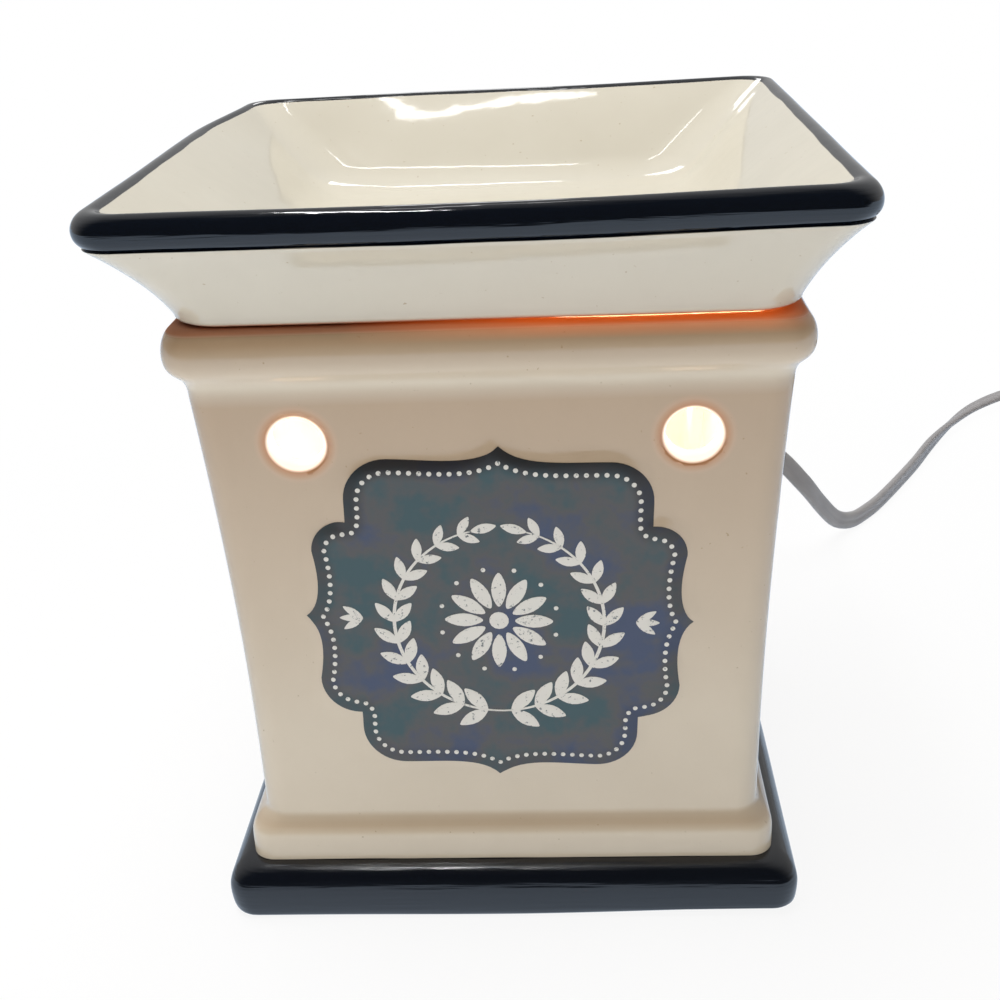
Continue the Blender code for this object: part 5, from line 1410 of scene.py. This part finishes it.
def chalkboard_print():
    """Charcoal ceramic ink fired on the glaze, clouded within: darker and browner towards its edge, partly
    a printed fade and partly painted shade, which grows towards its upper edge.
    """
    made, tree, shader, place = start_material("fired_charcoal_ink")
    clouds = add(tree, "TexNoise", {"Vector": place, "Scale": 1 / (16 * MM), "Detail": 4.0,
                                    "Roughness": 0.6})
    ground = add(tree, "ValToRGB", {"Fac": clouds.outputs["Fac"]})
    stops = ground.color_ramp.elements
    stops[0].position, stops[0].color = 0.38, colour("#46506A")
    stops[1].position, stops[1].color = 0.62, colour("#3F575C")
    stops.new(0.50).color = colour("#585757")
    edge = add(tree, "Attribute", attribute_name="from_edge")
    worn = add(tree, "Math", {0: clouds.outputs["Fac"], 1: 2.4, 2: edge.outputs["Fac"]},
               operation="MULTIPLY_ADD")
    thick = add(tree, "MapRange", {"Value": worn.outputs[0], "From Min": 2.6, "From Max": 6.2,
                                   "To Min": 0.9, "To Max": 0.0}, interpolation_type="SMOOTHSTEP")
    # Painted shade: the dark edge strengthens towards the plaque's top.
    height = add(tree, "SeparateXYZ", {0: place}).outputs["Z"]
    shade_to_top = add(tree, "MapRange", {"Value": height, "From Min": PLAQUE_Z,
                                   "From Max": PLAQUE_Z + PLAQUE_HALF_HEIGHT,
                                   "To Min": 0.25, "To Max": 1.0})
    rim = add(tree, "Math", {0: thick.outputs[0], 1: shade_to_top.outputs[0]}, operation="MULTIPLY")
    inked = add(tree, "Mix", {0: rim.outputs[0], 6: ground.outputs[0], 7: colour("#1E1712")},
                data_type="RGBA")
    tree.links.new(inked.outputs[2], shader.inputs["Base Color"])
    shader.inputs["Roughness"].default_value = 0.34
    grit = add(tree, "TexNoise", {"Vector": place, "Scale": 1 / (0.5 * MM), "Detail": 2.0})
    bump = add(tree, "Bump", {"Height": grit.outputs["Fac"], "Strength": 0.15, "Distance": 0.05 * MM})
    tree.links.new(bump.outputs[0], shader.inputs["Normal"])
    return made


def chalk_print():
    """White ceramic ink, printed with rubbed gaps that let the charcoal through, as on a chalk line."""
    made, tree, shader, place = start_material("fired_chalk_white_ink")
    rubbed = add(tree, "TexNoise", {"Vector": place, "Scale": 1 / (0.9 * MM), "Detail": 3.0,
                                    "Roughness": 0.7})
    gaps = add(tree, "MapRange", {"Value": rubbed.outputs["Fac"], "From Min": 0.60, "From Max": 0.68})
    ink = add(tree, "Mix", {0: gaps.outputs[0], 6: colour("#E3E2DC"), 7: colour("#6E7679")},
              data_type="RGBA")
    tree.links.new(ink.outputs[2], shader.inputs["Base Color"])
    shader.inputs["Roughness"].default_value = 0.45
    return made


def lit_frosted_glass():
    """Blown glass, etched inside, with its filament lit: the glow thins towards the neck."""
    made, tree, shader, place = start_material("lit_frosted_glass")
    height = add(tree, "SeparateXYZ", {0: place}).outputs["Z"]
    low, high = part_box("bulb_globe")
    glow = add(tree, "MapRange", {"Value": height, "From Min": low.z + 0.012, "From Max": high.z - 0.025,
                                  "To Min": 1.0, "To Max": LAMP_GLOW}, interpolation_type="SMOOTHSTEP")
    tree.links.new(glow.outputs[0], shader.inputs["Emission Strength"])
    shader.inputs["Emission Color"].default_value = colour(LAMP_COLOUR)
    shader.inputs["Base Color"].default_value = colour("#F4EFE6")
    shader.inputs["Roughness"].default_value = 0.5
    return made


def moulded(name, low, high, roughness, grain):
    """A moulded or extruded plastic: two close tones and a fine grain, in mm, from the mould or die."""
    made, tree, shader, place = start_material(name)
    tone = add(tree, "TexNoise", {"Vector": place, "Scale": 1 / (7 * MM), "Detail": 3.0})
    tint = add(tree, "Mix", {0: tone.outputs["Fac"], 6: colour(low), 7: colour(high)}, data_type="RGBA")
    tree.links.new(tint.outputs[2], shader.inputs["Base Color"])
    shader.inputs["Roughness"].default_value = roughness
    texture = add(tree, "TexNoise", {"Vector": place, "Scale": 1 / (grain * MM), "Detail": 2.0})
    bump = add(tree, "Bump", {"Height": texture.outputs["Fac"], "Strength": 0.25, "Distance": 0.08 * MM})
    tree.links.new(bump.outputs[0], shader.inputs["Normal"])
    return made


def worked_metal(name, low, high, roughness, grain):
    """A stamped, turned or plated metal: tarnish in clouds, and tool marks that vary its gloss."""
    made, tree, shader, place = start_material(name)
    tarnish = add(tree, "TexNoise", {"Vector": place, "Scale": 1 / (4 * MM), "Detail": 4.0})
    tint = add(tree, "Mix", {0: tarnish.outputs["Fac"], 6: colour(low), 7: colour(high)},
               data_type="RGBA")
    tree.links.new(tint.outputs[2], shader.inputs["Base Color"])
    shader.inputs["Metallic"].default_value = 1.0
    marks = add(tree, "TexNoise", {"Vector": place, "Scale": 1 / (grain * MM), "Detail": 2.0})
    gloss = add(tree, "MapRange", {"Value": marks.outputs["Fac"], "To Min": roughness - 0.1,
                                   "To Max": roughness + 0.1})
    tree.links.new(gloss.outputs[0], shader.inputs["Roughness"])
    return made


def pressed_fibre_board(name, low, high, fibre):
    """Pressed board: matte, with fibres lying flat in the sheet."""
    made, tree, shader, place = start_material(name)
    flat = add(tree, "Mapping", {"Vector": place, "Scale": (1.0, 1.0, 6.0)})
    fibres = add(tree, "TexNoise", {"Vector": flat.outputs[0], "Scale": 1 / (fibre * MM), "Detail": 5.0,
                                    "Distortion": 1.5})
    tint = add(tree, "Mix", {0: fibres.outputs["Fac"], 6: colour(low), 7: colour(high)}, data_type="RGBA")
    tree.links.new(tint.outputs[2], shader.inputs["Base Color"])
    shader.inputs["Roughness"].default_value = 0.85
    bump = add(tree, "Bump", {"Height": fibres.outputs["Fac"], "Strength": 0.4, "Distance": 0.15 * MM})
    tree.links.new(bump.outputs[0], shader.inputs["Normal"])
    return made


def clear_glass():
    """Drawn glass rod of the bulb's stem, with faint cords in the melt."""
    made, tree, shader, place = start_material("drawn_glass")
    shader.inputs["Base Color"].default_value = colour("#F2F4F2")
    shader.inputs["Transmission Weight"].default_value = 1.0
    shader.inputs["IOR"].default_value = 1.5
    cords = add(tree, "TexNoise", {"Vector": place, "Scale": 1 / (1.5 * MM), "Detail": 1.0})
    gloss = add(tree, "MapRange", {"Value": cords.outputs["Fac"], "To Min": 0.02, "To Max": 0.10})
    tree.links.new(gloss.outputs[0], shader.inputs["Roughness"])
    return made


def woven_strap():
    """Black nylon hook-and-loop: a matte nap of small loops."""
    made, tree, shader, place = start_material("black_nylon_hook_and_loop")
    loops = add(tree, "TexVoronoi", {"Vector": place, "Scale": 1 / (0.6 * MM)})
    tint = add(tree, "Mix", {0: loops.outputs["Distance"], 6: colour("#101011"), 7: colour("#2A2A2C")},
               data_type="RGBA")
    tree.links.new(tint.outputs[2], shader.inputs["Base Color"])
    shader.inputs["Roughness"].default_value = 0.9
    shader.inputs["Sheen Weight"].default_value = 0.3
    bump = add(tree, "Bump", {"Height": loops.outputs["Distance"], "Strength": 0.6, "Distance": 0.2 * MM})
    tree.links.new(bump.outputs[0], shader.inputs["Normal"])
    return made


set_camera()
set_world()
set_floor()
add_panel("overhead_soft_box", (-0.20, 0.03, 1.30), (0, 0, 0.10), (0.8, 0.8), 12.4)
add_panel("low_front_card", (-0.05, -0.36, 0.045), (0, 0, 0.045), (0.6, 0.08), 0.36)
add_panel("ceiling_tube", (-0.10, 0.205, 1.05), (-0.02, 0.06, 0.15), (0.27, 0.03), 0.21, mirrored=True)
add_panel("front_tube", (-0.16, -0.10, 1.05), (-0.05, -0.07, 0.166), (0.45, 0.012), 2.0, mirrored=True)
add_panel("back_tube", (-0.07, 0.80, 0.63), (-0.01, 0.05, 0.15), (0.15, 0.15), 0.36, mirrored=True)

# Extruded and moulded plastics
vinyl = moulded("extruded_grey_vinyl", "#949293", "#A6A4A5", 0.40, 1.2)
moulded_grey = moulded("moulded_grey_vinyl", "#8B898A", "#999798", 0.48, 0.6)
switch_plastic = moulded("spark_eroded_grey_abs", "#929091", "#A09E9F", 0.55, 0.4)
wheel_plastic = moulded("moulded_dark_grey_nylon", "#4A4A4C", "#5A5A5C", 0.45, 0.4)
phenolic = moulded("pressed_black_phenolic", "#16120F", "#2A231D", 0.34, 0.8)
rubber = moulded("cast_clear_polyurethane", "#A9A7A4", "#BDBBB7", 0.40, 1.0)
brown_wire = moulded("extruded_brown_wire", "#4B2C18", "#63402A", 0.45, 0.8)
blue_wire = moulded("extruded_blue_wire", "#24406E", "#35558A", 0.45, 0.8)
black_glass = moulded("fused_black_glass", "#08080A", "#141418", 0.12, 2.0)

# Stamped, turned and plated metals
brass = worked_metal("turned_brass", "#A8843F", "#C9A55E", 0.32, 0.3)
zinc = worked_metal("zinc_plated_steel", "#A7ABAF", "#C3C6C9", 0.36, 0.5)
nickel = worked_metal("nickel_plated_brass", "#B9B5AC", "#CFCBC3", 0.26, 0.4)
tungsten = worked_metal("drawn_tungsten", "#4E4B47", "#6A6660", 0.42, 0.2)
solder = worked_metal("soldered_tin_lead", "#8E8E8B", "#A5A5A2", 0.40, 0.3)

lead, lead_points = make_lead(vinyl)
# The body's glaze carries painted shade and a painted lamp glow.
make_body(glazed_earthenware("cream_and_black_glaze_body", ("#D5CAB6", "#DFD5C2"), dark_plinth, 0.20,
                             bare_seat, painted_shade_tan, painted_lamp_glow))
make_dish(glazed_earthenware("cream_and_black_glaze_dish", ("#CDC7B7", "#D7D2C3"), dark_rim, 0.06,
                             bare_foot))
make_plaque_face(chalkboard_print())
chalk = chalk_print()
make_plaque_dots(chalk)
make_plaque_wreath(chalk)
make_globe(lit_frosted_glass())
make_bulb_cap(nickel)
make_holder(phenolic, brass)
make_feet(rubber)
make_inner_leads(brown_wire, blue_wire)
on_lead = [make_strain_relief(moulded_grey), make_coil_tie(woven_strap())]
on_lead += make_plug(moulded_grey, brass)
on_lead += make_switch(switch_plastic, wheel_plastic, zinc)

dress(pressed_fibre_board("pressed_black_board", "#2B2725", "#4A433E", 0.8), "bottom_cover")
dress(pressed_fibre_board("vulcanised_fibre", "#6B3020", "#8A4A36", 0.5), "holder_washer")
dress(zinc, "cover_nut", "lock_nut", "floor_washer")
dress(brass, "nipple", "centre_contact", "terminal_screw_live", "terminal_screw_neutral", "switch_axle",
      "switch_contact_1", "switch_contact_2")
dress(black_glass, "bulb_insulator")
dress(solder, "bulb_tip")
dress(clear_glass(), "bulb_stem")
dress(nickel, "bulb_wire_1", "bulb_wire_2")
dress(tungsten, "bulb_filament")
on_lead += [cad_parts[name] for name in ("switch_axle", "switch_contact_1", "switch_contact_2")]

bpy.context.scene.view_settings.view_transform = "Standard"
